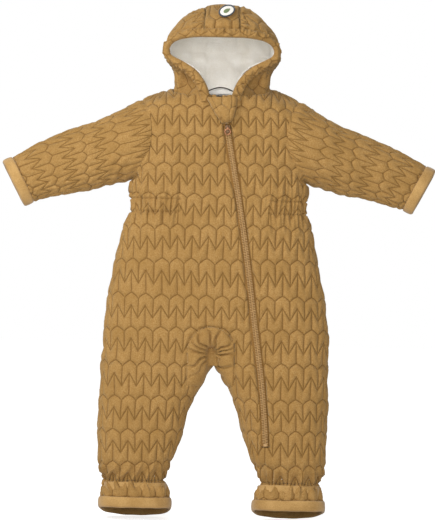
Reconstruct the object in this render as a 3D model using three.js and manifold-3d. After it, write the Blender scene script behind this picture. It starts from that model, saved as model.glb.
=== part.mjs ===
// Baby's hooded quilted pram suit, hanging straight as if worn.
// Millimetres, +Z up, front towards -Y, wearer's left towards +X.
// Heights below are measured from the back edge of the foot openings. The whole suit is
// moved at the end, so that the origin lies at the top of the hanger loop in the nape.

import * as THREE from 'three';
import { mergeVertices } from 'three/addons/utils/BufferGeometryUtils.js';
import { LoftGeometry } from 'three/addons/geometries/LoftGeometry.js';
import Module from 'manifold-3d';

const wasm = await Module();
wasm.setup();

// ---- driving dimensions ----

const legLength = 226;            // foot opening to crotch
const bodyLength = 404;           // crotch to neck seam
const hoodHeight = 142;           // neck seam to crown
const sleeveLength = 193;         // shoulder point to cuff edge, along the sleeve
const sleeveDrop = 20;            // degrees that a sleeve hangs below level
const seatHalfWidth = 170;
const waistHalfWidth = 133.5;
const chestHalfWidth = 127.5;
const neckHalfWidth = 72;
const frontDepth = 50;            // front face in front of the side seams
const seatBackDepth = 57;
const chestBackDepth = 50;

const quiltThickness = 5;         // velour, wadding and backing
const elasticThickness = 1.2;
const liningThickness = 1.2;
const layerGap = 0.3;             // clearance between layers and between panels

const zipTopDrop = 40.5;          // neck seam down to the top of the teeth
const zipTopX = 12.75;
const zipBottomHeight = 109.5;
const zipBottomX = 77.25;
const zipSlotHalf = 6.3;          // half of the gap between the two front edges
const toothPitch = 12;
const toothReach = 1.1;           // how far the teeth mesh past the middle
const tapeThickness = 1.2;
const underlapHalf = 15;

const sleeveAxisOut = 38;         // shoulder point to the swing axis, along the sleeve
const sleeveJointRadius = 59;
const hipAxisDrop = 36;           // crotch down to the swing axis of the legs
const hipJointRadius = 60;
const neckJointRadius = 58;
const neckAxisRise = 10;          // swing axis of the hood above the neck seam

const wristBindingWidth = 12;
const ankleBindingWidth = 13;
const ankleElasticHeight = 52;
const elasticWidth = 8;
const waistBandWidth = 18;
const brimWidth = 10;
const hoodStripHalf = 27;         // half width of the hood's middle panel

// ---- values that follow from them ----

const neckHeight = legLength + bodyLength;
const zipTopHeight = neckHeight - zipTopDrop;
const hipAxisHeight = legLength - hipAxisDrop;
const waistHeight = legLength + 0.594 * bodyLength;
const elasticInset = quiltThickness + layerGap;
const liningInset = elasticInset + elasticThickness + layerGap;
const wallThickness = liningInset + liningThickness;
const innerInset = wallThickness + layerGap;
const halfGap = layerGap / 2;
const reach = 900;                // larger than the suit, for cutting blocks
const bodySides = 16;             // flats around each tube and roller
const legSides = 12;
const sleeveSides = 12;
const rollerSides = 40;
const dropAngle = THREE.MathUtils.degToRad(sleeveDrop);
const shoulder = new THREE.Vector3(chestHalfWidth - 1.5, 0, neckHeight - 64);
const neckAxisHeight = neckHeight + neckAxisRise;
const neckSlope = 0.13;           // the neck seam is lower in front

// Rings of the body, hood, legs and sleeves. lift says how far a ring of an inner
// layer drops (1) or rises (-1) by its inset, where the wall runs nearly level.

const bodyRings = [
  { up: 0.025, half: seatHalfWidth - 2, front: frontDepth, back: seatBackDepth, lift: -1 },
  { up: 0.15, half: seatHalfWidth - 1, front: frontDepth, back: seatBackDepth + 1 },
  { up: 0.415, half: waistHalfWidth + 19, front: frontDepth, back: chestBackDepth + 4 },
  { up: 0.515, half: waistHalfWidth + 8, front: frontDepth, back: chestBackDepth + 2 },
  { up: 0.594, half: waistHalfWidth, front: frontDepth, back: chestBackDepth },
  { up: 0.68, half: waistHalfWidth, front: frontDepth, back: chestBackDepth },
  { up: 0.83, half: chestHalfWidth, front: frontDepth, back: chestBackDepth + 1 },
  { up: 0.995, half: chestHalfWidth - 12, front: frontDepth - 1.5, back: chestBackDepth - 6, lift: 0.7 },
  { up: 1.04, half: neckHalfWidth - 2, front: frontDepth - 7, back: chestBackDepth - 8, lift: 1 },
];

const hoodRings = [
  { up: -0.25, half: neckHalfWidth - 6, front: frontDepth - 6, back: chestBackDepth - 6 },
  { up: 0.015, half: neckHalfWidth, front: frontDepth - 2, back: chestBackDepth - 2 },
  { up: 0.15, half: neckHalfWidth + 2, front: frontDepth + 3, back: chestBackDepth + 7 },
  { up: 0.43, half: neckHalfWidth + 16.5, front: frontDepth + 12, back: chestBackDepth + 30 },
  { up: 0.718, half: neckHalfWidth + 5, front: frontDepth + 10, back: chestBackDepth + 30, lift: 0.4 },
  { up: 0.831, half: neckHalfWidth - 10, front: frontDepth + 2, back: chestBackDepth + 18, lift: 0.7 },
  { up: 0.915, half: neckHalfWidth - 27, front: frontDepth - 10, back: chestBackDepth + 2, lift: 0.85 },
  { up: 0.972, half: neckHalfWidth - 46, front: frontDepth - 26, back: chestBackDepth - 18, lift: 1 },
  { up: 1, half: neckHalfWidth - 62, front: frontDepth - 40, back: chestBackDepth - 40, lift: 1 },
];

const legRings = [
  { z: ankleElasticHeight - 43, inner: 68, outer: seatHalfWidth - 4, front: 40, back: 44, tilt: 0.2 },
  { z: ankleElasticHeight - 32, inner: 64, outer: seatHalfWidth, front: 42, back: 46, tilt: 0.2 },
  { z: ankleElasticHeight - 16, inner: 64.5, outer: seatHalfWidth - 3, front: 41, back: 44, tilt: 0.1 },
  { z: ankleElasticHeight, inner: 71, outer: seatHalfWidth - 6.5, front: 36, back: 38 },
  { z: ankleElasticHeight + 14, inner: 66, outer: seatHalfWidth, front: 42, back: 44 },
  { z: 0.39 * legLength, inner: 55, outer: seatHalfWidth + 2.5, front: 48, back: 48 },
  { z: 0.575 * legLength, inner: 43.5, outer: seatHalfWidth + 3, front: frontDepth, back: seatBackDepth - 6 },
  { z: legLength - 30, inner: 19.5, outer: seatHalfWidth + 3, front: frontDepth, back: seatBackDepth - 1 },
  { z: legLength, inner: 2, outer: seatHalfWidth + 2, front: frontDepth, back: seatBackDepth },
  { z: legLength + 24, inner: -7, outer: seatHalfWidth - 3, front: frontDepth - 3, back: seatBackDepth - 3 },
  { z: legLength + 50, inner: -4, outer: seatHalfWidth - 12, front: frontDepth - 8, back: seatBackDepth - 9 },
];

const sleeveRings = [
  { out: -50, half: 48, depth: 36 },
  { out: 0, half: 57, depth: 42 },
  { out: 0.26 * sleeveLength, half: 48.5, depth: 38 },
  { out: 0.52 * sleeveLength, half: 41.5, depth: 34 },
  { out: 0.777 * sleeveLength, half: 37, depth: 30 },
  { out: sleeveLength - wristBindingWidth, half: 35, depth: 27 },
  { out: sleeveLength, half: 34, depth: 26 },
];

// ---- small helpers: solids, cutting blocks and meshes ----

function solidOf(geometry) {
  const bare = new THREE.BufferGeometry();
  bare.setAttribute('position', geometry.attributes.position);
  bare.setIndex(geometry.index);
  const merged = mergeVertices(bare, 1e-4);
  return new wasm.Manifold(new wasm.Mesh({
    numProp: 3,
    vertProperties: new Float32Array(merged.attributes.position.array),
    triVerts: new Uint32Array(merged.index.array),
  }));
}

function joined(solids) {
  return solids.reduce((whole, solid) => whole.add(solid));
}

function block(lowX, highX, lowY, highY, lowZ, highZ) {
  const geometry = new THREE.BoxGeometry(highX - lowX, highY - lowY, highZ - lowZ);
  geometry.translate((lowX + highX) / 2, (lowY + highY) / 2, (lowZ + highZ) / 2);
  return solidOf(geometry);
}

// Everything below a plane that crosses the side seams at height z and falls to the back.
function below(z, slope = 0) {
  const geometry = new THREE.BoxGeometry(reach, reach, reach);
  geometry.translate(0, 0, -reach / 2);
  geometry.rotateX(-Math.atan(slope));
  geometry.translate(0, 0, z);
  return solidOf(geometry);
}

// A front-view outline carried through the suit from lowY to highY.
function prism(shape, lowY = -reach, highY = reach) {
  const geometry = new THREE.ExtrudeGeometry(shape, {
    depth: highY - lowY, bevelEnabled: false, curveSegments: 8,
  });
  geometry.rotateX(Math.PI / 2);
  geometry.translate(0, highY, 0);
  return solidOf(geometry);
}

function outline(points) {
  return new THREE.Shape(points.map(([x, z]) => new THREE.Vector2(x, z)));
}

function rollerAlongX(radius, y, z) {
  const geometry = new THREE.CylinderGeometry(radius, radius, reach, rollerSides);
  geometry.rotateZ(Math.PI / 2);
  geometry.translate(0, y, z);
  return solidOf(geometry);
}

function rollerAlongY(radius, x, z) {
  const geometry = new THREE.CylinderGeometry(radius, radius, reach, rollerSides);
  geometry.translate(x, 0, z);
  return solidOf(geometry);
}

// A mesh from a solid, with its needle-thin triangles closed up.
function meshOf(name, solid, finish) {
  const cut = solid.getMesh();
  const raw = new THREE.BufferGeometry();
  raw.setAttribute('position', new THREE.BufferAttribute(new Float32Array(cut.vertProperties), 3));
  raw.setIndex(new THREE.BufferAttribute(new Uint32Array(cut.triVerts), 1));
  const geometry = mergeVertices(raw, 1e-3);
  const corners = geometry.index.array;
  const kept = [];
  for (let i = 0; i < corners.length; i += 3) {
    const [a, b, c] = corners.slice(i, i + 3);
    if (a !== b && b !== c && c !== a) kept.push(a, b, c);
  }
  geometry.setIndex(kept);
  geometry.computeVertexNormals();
  const mesh = new THREE.Mesh(geometry, new THREE.MeshStandardMaterial(finish));
  mesh.name = name;
  return mesh;
}

// ---- the suit's form, as nested tubes ----

// One level ring: flat in front, rounder behind.
function ring({ middle = 0, z, half, front, back, tilt = 0 }, sides) {
  const points = [];
  for (let i = 0; i < sides; i += 1) {
    const turn = (i / sides) * Math.PI * 2;
    const squareness = Math.sin(turn) < 0 ? 4 : 2.6;
    const depth = Math.sin(turn) < 0 ? front : back;
    const x = Math.sign(Math.cos(turn)) * Math.abs(Math.cos(turn)) ** (2 / squareness) * half;
    const y = Math.sign(Math.sin(turn)) * Math.abs(Math.sin(turn)) ** (2 / squareness) * depth;
    points.push(new THREE.Vector3(middle + x, y, z - y * tilt));
  }
  return points;
}

function loft(rings) {
  return solidOf(new LoftGeometry(rings, { capStart: true, capEnd: true }));
}

function column(rings, base, height, inset, sides) {
  return loft(rings.map(({ up, half, front, back, lift = 0 }) => ring({
    z: base + up * height - lift * inset,
    half: half - inset,
    front: front - inset,
    back: back - inset,
  }, sides)));
}

// side is 1 for the wearer's left and -1 for the right.
function legTube(side, inset, overshoot) {
  const rings = legRings.map(({ z, inner, outer, front, back, tilt = 0 }) => ring({
    middle: side * (inner + outer) / 2,
    z,
    half: (outer - inner) / 2 - inset,
    front: front - inset,
    back: back - inset,
    tilt,
  }, legSides));
  if (overshoot > 0) {
    rings.unshift(rings[0].map((point) => point.clone().setZ(point.z - overshoot)));
  }
  return loft(rings);
}

function sleevePlace(side, out) {
  return new THREE.Vector3(
    side * (shoulder.x + out * Math.cos(dropAngle)),
    0,
    shoulder.z - out * Math.sin(dropAngle),
  );
}

function sleeveTube(side, inset, overshoot) {
  const stops = [...sleeveRings];
  if (overshoot > 0) stops.push({ ...stops.at(-1), out: sleeveLength + overshoot });
  const across = new THREE.Vector3(side * Math.sin(dropAngle), 0, Math.cos(dropAngle));
  return loft(stops.map(({ out, half, depth }) => {
    const points = [];
    for (let i = 0; i < sleeveSides; i += 1) {
      const turn = (i / sleeveSides) * Math.PI * 2;
      points.push(sleevePlace(side, out)
        .addScaledVector(across, (half - inset) * Math.cos(turn))
        .add(new THREE.Vector3(0, -side * (depth - inset) * Math.sin(turn), 0)));
    }
    return points;
  }));
}

// The whole suit shrunk by inset. overshoot carries it out of the cuffs, for cutting.
function form(inset, overshoot = 0) {
  return joined([
    column(bodyRings, legLength, bodyLength, inset, bodySides),
    column(hoodRings, neckHeight, hoodHeight, inset, bodySides),
    legTube(1, inset, overshoot),
    legTube(-1, inset, overshoot),
    sleeveTube(1, inset, overshoot),
    sleeveTube(-1, inset, overshoot),
  ]);
}

function layer(outerInset, innerInsetHere) {
  return form(outerInset).subtract(form(innerInsetHere, 40));
}

// ---- regions that the layers are cut by ----

// Past a joint's roller. grow keeps the moving side clear of the fixed side.
function beyondHip(side, grow) {
  const span = side > 0 ? [0, reach] : [-reach, 0];
  return block(...span, -reach, reach, -reach, hipAxisHeight)
    .subtract(rollerAlongX(hipJointRadius + grow, 0, hipAxisHeight));
}

function beyondNeck(grow) {
  return block(-reach, reach, -reach, reach, neckAxisHeight, reach + neckAxisHeight)
    .subtract(rollerAlongX(neckJointRadius + grow, 0, neckAxisHeight));
}

// A slab across a sleeve, from one distance along it to another.
function alongSleeve(side, from, to, halfHeight = 90) {
  const geometry = new THREE.BoxGeometry(to - from, reach, 2 * halfHeight);
  geometry.translate((from + to) / 2, 0, 0);
  geometry.rotateY(dropAngle);
  if (side < 0) geometry.rotateZ(Math.PI);
  geometry.translate(side * shoulder.x, 0, shoulder.z);
  return solidOf(geometry);
}

function beyondArm(side, grow) {
  const axis = sleevePlace(side, sleeveAxisOut);
  return alongSleeve(side, sleeveAxisOut, reach, sleeveJointRadius + 20)
    .subtract(rollerAlongY(sleeveJointRadius + grow, axis.x, axis.z));
}

// Outside the armhole seam, which runs from the shoulder point down to the armpit.
function outsideArmhole(side, grow) {
  const top = { x: chestHalfWidth - 6.5 - 8 + grow, z: neckHeight + 68 };
  const armpit = { x: waistHalfWidth + 2.5 + grow, z: neckHeight - 130 };
  return prism(outline([
    [side * top.x, top.z],
    [side * armpit.x, armpit.z],
    [side * (armpit.x + reach), armpit.z - 0.45 * reach],
    [side * (armpit.x + reach), top.z],
  ]));
}

// Points on the zip line: down is measured from the top of the teeth, across from the line.
const zipSpan = new THREE.Vector2(zipBottomX - zipTopX, zipBottomHeight - zipTopHeight);
const zipLength = zipSpan.length();
const zipDown = zipSpan.clone().normalize();

function onZip(down, across) {
  return [
    zipTopX + zipDown.x * down - zipDown.y * across,
    zipTopHeight + zipDown.y * down + zipDown.x * across,
  ];
}

function zipStrip(from, to, low, high) {
  return prism(outline([
    onZip(from, low), onZip(to, low), onZip(to, high), onZip(from, high),
  ]), -reach, 0);
}

// One row of meshing teeth, as a front-view outline.
function toothRow(side) {
  const points = [onZip(0, side * 2.9), onZip(zipLength, side * 2.9)];
  const count = Math.floor(zipLength / toothPitch);
  for (let i = count; i > 0; i -= 1) {
    const start = (i - 1) * toothPitch + (side > 0 ? 0 : toothPitch / 2);
    const stop = Math.min(start + toothPitch / 2, zipLength) - halfGap;
    const tip = -side * (toothReach - halfGap);
    const root = side * (toothReach + halfGap);
    points.push(onZip(stop, root), onZip(stop, tip));
    points.push(onZip(start + halfGap, tip), onZip(start + halfGap, root));
  }
  return prism(outline(points), -reach, 0);
}

// The guard over the zip's top: wide at the neck, narrow where the teeth start.
function guardOutline(grow) {
  return outline([
    [-19 - grow, neckHeight + 30],
    [23 + grow, neckHeight + 30],
    [21 + grow, zipTopHeight + 14],
    [17 + grow, zipTopHeight + 4 - grow],
    [3 - grow, zipTopHeight + 4 - grow],
    [-12 - grow, zipTopHeight + 16],
  ]);
}

// The face opening, grown outwards by grow.
function faceOutline(grow) {
  const low = neckHeight + 7 - 0.75 * grow;
  const corner = neckHeight + 0.4225 * hoodHeight - 0.3 * grow;
  const top = neckHeight + 0.669 * hoodHeight + grow;
  const halfLow = 22 + 0.66 * grow;
  const halfCorner = 81 + 0.5 * grow;
  const shape = new THREE.Shape();
  shape.moveTo(-10 - grow, neckHeight - 12);
  shape.lineTo(10 + grow, neckHeight - 12);
  shape.lineTo(halfLow, low);
  shape.lineTo(halfCorner, corner);
  shape.quadraticCurveTo(halfCorner - 6, top - 2, 34, top);
  shape.lineTo(-34, top);
  shape.quadraticCurveTo(6 - halfCorner, top - 2, -halfCorner, corner);
  shape.lineTo(-halfLow, low);
  return shape;
}

function faceOpening(grow) {
  return prism(faceOutline(grow), -reach, -12);
}

// The gathered gusset around the crotch.
function gussetRegion(grow) {
  const shape = new THREE.Shape();
  shape.absarc(-8, legLength + 22, 37 + grow, 0, Math.PI * 2);
  return prism(shape);
}

// ---- finishes ----

const velour = { color: 0xb38a50, roughness: 0.95, metalness: 0 };
const cotton = { color: 0xd8d0c3, roughness: 0.9, metalness: 0 };
const jersey = { color: 0xb98f59, roughness: 0.8, metalness: 0 };
const rib = { color: 0xe6e0d4, roughness: 0.85, metalness: 0 };
const zipCloth = { color: 0x7c5a2c, roughness: 0.85, metalness: 0 };
const zipPlastic = { color: 0x926e3c, roughness: 0.45, metalness: 0 };
const zipMetal = { color: 0xa9865c, roughness: 0.35, metalness: 0.9 };
const loopTape = { color: 0x5b544c, roughness: 0.85, metalness: 0 };
const badgeCloth = { color: 0xe9e4da, roughness: 0.7, metalness: 0 };

// ---- layers and the regions cut out of them ----

const quilt = layer(0, quiltThickness);
const elasticLayer = layer(elasticInset, elasticInset + elasticThickness);
const lining = layer(liningInset, wallThickness);
const fullWall = layer(0, wallThickness);
const innermost = layer(innerInset, innerInset + tapeThickness);

const front = block(-reach, reach, -reach, -halfGap, -reach, reach);
const rear = block(-reach, reach, halfGap, reach, -reach, reach);
const collarColumn = (grow) => block(-neckHalfWidth - 6 - grow, neckHalfWidth + 6 + grow,
  -reach, reach, neckHeight - 60, neckHeight + reach)
  .add(block(-reach, reach, -reach, reach, neckHeight + 20 - grow, neckHeight + reach));
const overNeckSeam = collarColumn(-halfGap).subtract(below(neckHeight + halfGap, -neckSlope));
const fromNeckSeamUp = collarColumn(halfGap).subtract(below(neckHeight - halfGap, -neckSlope));
const hips = joined([beyondHip(1, -halfGap), beyondHip(-1, -halfGap)]);
const arms = joined([beyondArm(1, -halfGap), beyondArm(-1, -halfGap)]);
const armholes = joined([outsideArmhole(1, -halfGap), outsideArmhole(-1, -halfGap)]);
const slot = zipStrip(-6, zipLength + 4, -zipSlotHalf, zipSlotHalf);
const rightOfZip = zipStrip(-reach, reach, -reach, 0);
const leftOfZip = zipStrip(-reach, reach, 0, reach);

const pieces = [];

function add(name, solid, finish) {
  pieces.push(meshOf(name, solid, finish));
}

// ---- trunk: panels, gusset, lining, elastics ----

function trunkPanels() {
  const shell = quilt.subtract(fromNeckSeamUp).subtract(hips).subtract(armholes);
  const faceSide = shell.intersect(front).subtract(gussetRegion(halfGap))
    .subtract(slot).subtract(prism(guardOutline(halfGap), -reach, 0));
  add('front_right_panel', faceSide.intersect(rightOfZip), velour);
  add('front_left_panel', faceSide.intersect(leftOfZip), velour);
  add('back_panel', shell.intersect(rear).subtract(gussetRegion(halfGap)), velour);
  add('crotch_gusset', shell.intersect(gussetRegion(-halfGap)), velour);
  add('chin_guard', shell.intersect(prism(guardOutline(-halfGap), -reach, 0)), velour);
}

function sleeveHead(side, name) {
  add(name, quilt.intersect(outsideArmhole(side, halfGap)).subtract(arms), velour);
}

function trunkLining() {
  const shell = lining.subtract(fromNeckSeamUp).subtract(hips).subtract(arms);
  const faceSide = shell.intersect(front).subtract(slot)
    .subtract(prism(guardOutline(halfGap), -reach, 0));
  add('front_right_lining', faceSide.intersect(rightOfZip), cotton);
  add('front_left_lining', faceSide.intersect(leftOfZip), cotton);
  add('back_lining', shell.intersect(rear), cotton);
}

function waistElastic(side, name, frontEnd) {
  const band = waistBandWidth / 2;
  const far = waistHalfWidth + 5;
  const span = (near) => (side > 0 ? [near, far] : [-far, -near]);
  const inFront = block(...span(frontEnd), -reach, 0, waistHeight - band, waistHeight + band);
  const behind = block(...span(8), 0, reach, waistHeight - band, waistHeight + band);
  add(name, elasticLayer.intersect(inFront.add(behind)), rib);
}

function neckPieces() {
  const hoodRoot = fullWall.intersect(overNeckSeam).subtract(beyondNeck(-halfGap))
    .subtract(armholes).subtract(faceOpening(0));
  add('hood_root', hoodRoot, velour);
  const tapeBand = below(neckHeight + 5, -neckSlope).subtract(below(neckHeight - 5, -neckSlope));
  add('neck_seam_tape', innermost.intersect(tapeBand).intersect(rear), loopTape);
}

// The loop stands on the neck seam tape and leans into the neck, so a hook can pass.
const loopThickness = 1.4;
const napeFall = 1.6;               // how far the nape curves forward at the loop's feet
const loopFoot = new THREE.Vector3(
  24,
  hoodRings[1].back - innerInset - tapeThickness - layerGap - loopThickness / 2 - napeFall,
  neckHeight + 4.5,
);
const loopTop = new THREE.Vector3(0, loopFoot.y - 4.5, loopFoot.z + 13);

function hangerLoop() {
  const path = new THREE.CatmullRomCurve3([
    new THREE.Vector3(-loopFoot.x, loopFoot.y, loopFoot.z),
    new THREE.Vector3(-loopFoot.x * 0.72, loopFoot.y - 2.6, loopFoot.z + 8.5),
    loopTop,
    new THREE.Vector3(loopFoot.x * 0.72, loopFoot.y - 2.6, loopFoot.z + 8.5),
    loopFoot,
  ]);
  const thin = loopThickness / 2;
  const section = outline([[-thin, -2.2], [thin, -2.2], [thin, 2.2], [-thin, 2.2]]);
  const geometry = new THREE.ExtrudeGeometry(section, { steps: 20, extrudePath: path });
  add('hanger_loop', solidOf(geometry), loopTape);
}

// ---- zip ----

function zipRun(suffix, region) {
  const tape = layer(2.1, 2.1 + tapeThickness).intersect(region);
  const teeth = layer(0, 1.8).intersect(region);
  const edge = zipSlotHalf - layerGap;
  add(`zip_tape_right${suffix}`, tape.intersect(zipStrip(0, zipLength, -edge, -halfGap)), zipCloth);
  add(`zip_tape_left${suffix}`, tape.intersect(zipStrip(0, zipLength, halfGap, edge)), zipCloth);
  add(`zip_teeth_right${suffix}`, teeth.intersect(toothRow(-1)), zipPlastic);
  add(`zip_teeth_left${suffix}`, teeth.intersect(toothRow(1)), zipPlastic);
  const flap = zipStrip(-8, zipLength + 2, -underlapHalf, underlapHalf);
  add(`zip_underlap${suffix}`, innermost.intersect(region).intersect(flap), jersey);
}

function zipStops() {
  const skin = layer(-0.6, 1.8);
  add('zip_top_stop_right', skin.intersect(zipStrip(-1.9, -layerGap, -3, -halfGap)), zipMetal);
  add('zip_top_stop_left', skin.intersect(zipStrip(-1.9, -layerGap, halfGap, 3)), zipMetal);
  const foot = zipStrip(zipLength + layerGap, zipLength + 3.6, -3, 3);
  add('zip_bottom_stop', skin.intersect(foot), zipMetal);
}

// The slider is drawn level, then turned to the zip's slant about its own middle.
const sliderDown = 8;
const sliderFloor = frontDepth - 0.35 + layerGap;
const hingeUp = 0.5;              // pull hinge above the slider's middle
const hingeOut = 3.4;             // and in front of its back face
const pullBar = 1.2;              // bar of the pull that runs through the bridge
const pullThickness = 1;
const pullWidth = 8;
const pullDrop = 13.8;

function pullSolid() {
  const half = pullWidth / 2;
  const bar = pullBar / 2;
  const shape = outline([
    [-half, 1.4 - pullDrop], [1.4 - half, -pullDrop], [half - 1.4, -pullDrop], [half, 1.4 - pullDrop],
    [half, -1], [half - 0.8, bar], [0.8 - half, bar], [-half, -1],
  ]);
  const side = half - 1.6;
  shape.holes.push(outline([
    [-side, 2.4 - pullDrop], [0.8 - side, 1.5 - pullDrop], [side - 0.8, 1.5 - pullDrop],
    [side, 2.4 - pullDrop], [side, -1.4], [side - 0.6, -bar], [0.6 - side, -bar], [-side, -1.4],
  ]));
  const geometry = new THREE.ExtrudeGeometry(shape, { depth: pullThickness, bevelEnabled: false });
  geometry.translate(0, hingeUp, hingeOut - pullThickness / 2);
  return solidOf(geometry);
}

function sliderSolid() {
  const body = outline([[-4.6, 4], [-3, 6], [3, 6], [4.6, 4], [3.6, -6], [-3.6, -6]]);
  const plate = new THREE.ExtrudeGeometry(body, { depth: 2, bevelEnabled: false });
  const bridge = new THREE.BoxGeometry(2, 7, 3.4);
  bridge.translate(0, hingeUp, hingeOut);
  const eyeRadius = Math.hypot(pullBar, pullThickness) / 2 + 1.7 * layerGap;
  const eye = new THREE.CylinderGeometry(eyeRadius, eyeRadius, 4, 16);
  eye.rotateZ(Math.PI / 2);
  eye.translate(0, hingeUp, hingeOut);
  return solidOf(plate).add(solidOf(bridge)).subtract(solidOf(eye));
}

function sliderPieces() {
  const [x, z] = onZip(sliderDown, 0);
  const slant = Math.atan2(zipDown.x, -zipDown.y);
  for (const [name, solid, finish] of [
    ['zip_slider', sliderSolid(), zipMetal],
    ['zip_pull', pullSolid(), zipMetal],
  ]) {
    const mesh = meshOf(name, solid, finish);
    mesh.position.set(x, -sliderFloor, z);
    mesh.rotation.set(Math.PI / 2, -slant, 0, 'YXZ');
    pieces.push(mesh);
  }
}

// ---- hood ----

function hoodPieces() {
  const shell = quilt.intersect(beyondNeck(halfGap)).subtract(faceOpening(brimWidth));
  const strip = (grow) => block(-hoodStripHalf - grow, hoodStripHalf + grow,
    -reach, reach, neckHeight, reach);
  const middle = shell.intersect(strip(-halfGap));
  const sides = shell.subtract(strip(halfGap));
  add('hood_centre', middle, velour);
  add('hood_right_side', sides.intersect(block(-reach, 0, -reach, reach, 0, reach)), velour);
  add('hood_left_side', sides.intersect(block(0, reach, -reach, reach, 0, reach)), velour);
  const brimRegion = faceOpening(brimWidth - layerGap).subtract(faceOpening(0));
  add('hood_brim', quilt.intersect(beyondNeck(halfGap)).intersect(brimRegion), velour);
  const brimElastic = faceOpening(brimWidth - 2).subtract(faceOpening(2));
  add('hood_brim_elastic', elasticLayer.intersect(beyondNeck(halfGap)).intersect(brimElastic), rib);
  add('hood_lining', lining.intersect(beyondNeck(halfGap)).subtract(faceOpening(0)), cotton);
}

const badgeLift = 0.45;
const badgeAside = 6;

function hoodBadge() {
  const shape = new THREE.Shape();
  shape.absellipse(0, 0, 12, 9, 0, Math.PI * 2);
  const geometry = new THREE.ExtrudeGeometry(shape, { depth: 1.4, bevelEnabled: false, curveSegments: 10 });
  const [lower, upper] = hoodRings.slice(-4, -2);
  const share = 0.6;
  const depth = THREE.MathUtils.lerp(lower.front, upper.front, share);
  const mesh = meshOf('hood_badge', solidOf(geometry), badgeCloth);
  const height = neckHeight + hoodHeight * THREE.MathUtils.lerp(lower.up, upper.up, share);
  mesh.position.set(badgeAside, -depth - badgeLift, height + badgeLift);
  mesh.rotation.set(THREE.MathUtils.degToRad(45), THREE.MathUtils.degToRad(2), THREE.MathUtils.degToRad(27));
  pieces.push(mesh);
}

// ---- sleeves and legs ----

function sleevePieces(side, word) {
  const free = beyondArm(side, halfGap);
  const bindingStart = sleeveLength - wristBindingWidth;
  const binding = alongSleeve(side, bindingStart + layerGap, sleeveLength + 5);
  const cut = alongSleeve(side, bindingStart, sleeveLength + 5);
  add(`${word}_sleeve`, quilt.intersect(free).subtract(cut), velour);
  add(`${word}_sleeve_lining`, lining.intersect(free).subtract(cut), cotton);
  const band = alongSleeve(side, bindingStart - 1 - elasticWidth, bindingStart - 1);
  add(`${word}_wrist_elastic`, elasticLayer.intersect(band), rib);
  add(`${word}_wrist_binding`, fullWall.intersect(binding), jersey);
}

function legPieces(side, word) {
  const free = beyondHip(side, halfGap);
  const bindingTop = 9 + ankleBindingWidth;
  const cuffLine = ankleElasticHeight;
  const shell = quilt.intersect(free).subtract(below(cuffLine + halfGap));
  const frontPart = shell.intersect(front);
  add(`${word}_leg_front`, side > 0 ? frontPart.subtract(slot) : frontPart, velour);
  add(`${word}_leg_back`, shell.intersect(rear), velour);
  const inside = lining.intersect(free).subtract(below(bindingTop + halfGap, 0.2));
  add(`${word}_leg_lining`, side > 0 ? inside.subtract(slot) : inside, cotton);
  const band = below(cuffLine + elasticWidth / 2).subtract(below(cuffLine - elasticWidth / 2));
  add(`${word}_ankle_elastic`, elasticLayer.intersect(free).intersect(band), rib);
  const cuff = below(cuffLine - halfGap).subtract(below(bindingTop + halfGap, 0.2));
  add(`${word}_foot_cuff`, quilt.intersect(free).intersect(cuff), velour);
  const binding = below(bindingTop - halfGap, 0.2);
  add(`${word}_ankle_binding`, fullWall.intersect(free).intersect(binding), jersey);
}

trunkPanels();
sleeveHead(1, 'left_sleeve_head');
sleeveHead(-1, 'right_sleeve_head');
trunkLining();
waistElastic(-1, 'waist_elastic_right', 56);
waistElastic(1, 'waist_elastic_left', 72);
neckPieces();
hangerLoop();
const aboveHips = block(-reach, reach, -reach, reach, -reach, neckHeight - 12)
  .subtract(hips);
zipRun('', aboveHips);
zipRun('_leg', beyondHip(1, halfGap));
zipStops();
sliderPieces();
hoodPieces();
hoodBadge();
sleevePieces(1, 'left');
sleevePieces(-1, 'right');
legPieces(1, 'left');
legPieces(-1, 'right');

const suit = new THREE.Group();
suit.add(...pieces);
suit.position.copy(loopTop).negate();

export default suit;
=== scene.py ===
# A baby's hooded quilted pram suit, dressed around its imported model.
# Sizes below are in millimetres, with heights measured up from the foot openings.
import math

import bmesh
import bpy
import numpy as np
from mathutils import Matrix, Vector


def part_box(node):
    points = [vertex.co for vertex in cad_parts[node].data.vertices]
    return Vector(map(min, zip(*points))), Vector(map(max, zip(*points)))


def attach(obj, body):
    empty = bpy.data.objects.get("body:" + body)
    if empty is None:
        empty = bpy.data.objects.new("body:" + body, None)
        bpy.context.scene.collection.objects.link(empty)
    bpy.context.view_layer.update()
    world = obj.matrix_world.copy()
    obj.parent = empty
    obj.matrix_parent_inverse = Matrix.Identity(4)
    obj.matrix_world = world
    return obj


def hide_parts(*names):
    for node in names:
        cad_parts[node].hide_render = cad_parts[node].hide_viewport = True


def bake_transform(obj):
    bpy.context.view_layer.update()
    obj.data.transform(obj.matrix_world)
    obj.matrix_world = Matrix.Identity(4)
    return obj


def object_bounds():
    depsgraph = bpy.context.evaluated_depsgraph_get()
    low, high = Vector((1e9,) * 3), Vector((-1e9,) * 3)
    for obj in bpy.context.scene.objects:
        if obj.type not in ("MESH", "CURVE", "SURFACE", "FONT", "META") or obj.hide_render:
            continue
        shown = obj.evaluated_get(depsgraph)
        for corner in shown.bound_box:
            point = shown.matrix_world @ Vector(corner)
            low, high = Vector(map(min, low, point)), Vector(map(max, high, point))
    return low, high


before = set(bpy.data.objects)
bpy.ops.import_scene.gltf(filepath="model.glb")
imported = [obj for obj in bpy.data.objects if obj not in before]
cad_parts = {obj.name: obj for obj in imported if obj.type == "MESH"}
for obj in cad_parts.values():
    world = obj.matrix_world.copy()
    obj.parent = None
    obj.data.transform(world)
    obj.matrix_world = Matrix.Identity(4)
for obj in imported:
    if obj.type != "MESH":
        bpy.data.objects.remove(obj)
cadLow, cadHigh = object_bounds()
print("frame loaded, size in mm:", [round(1000 * side) for side in cadHigh - cadLow])

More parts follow.
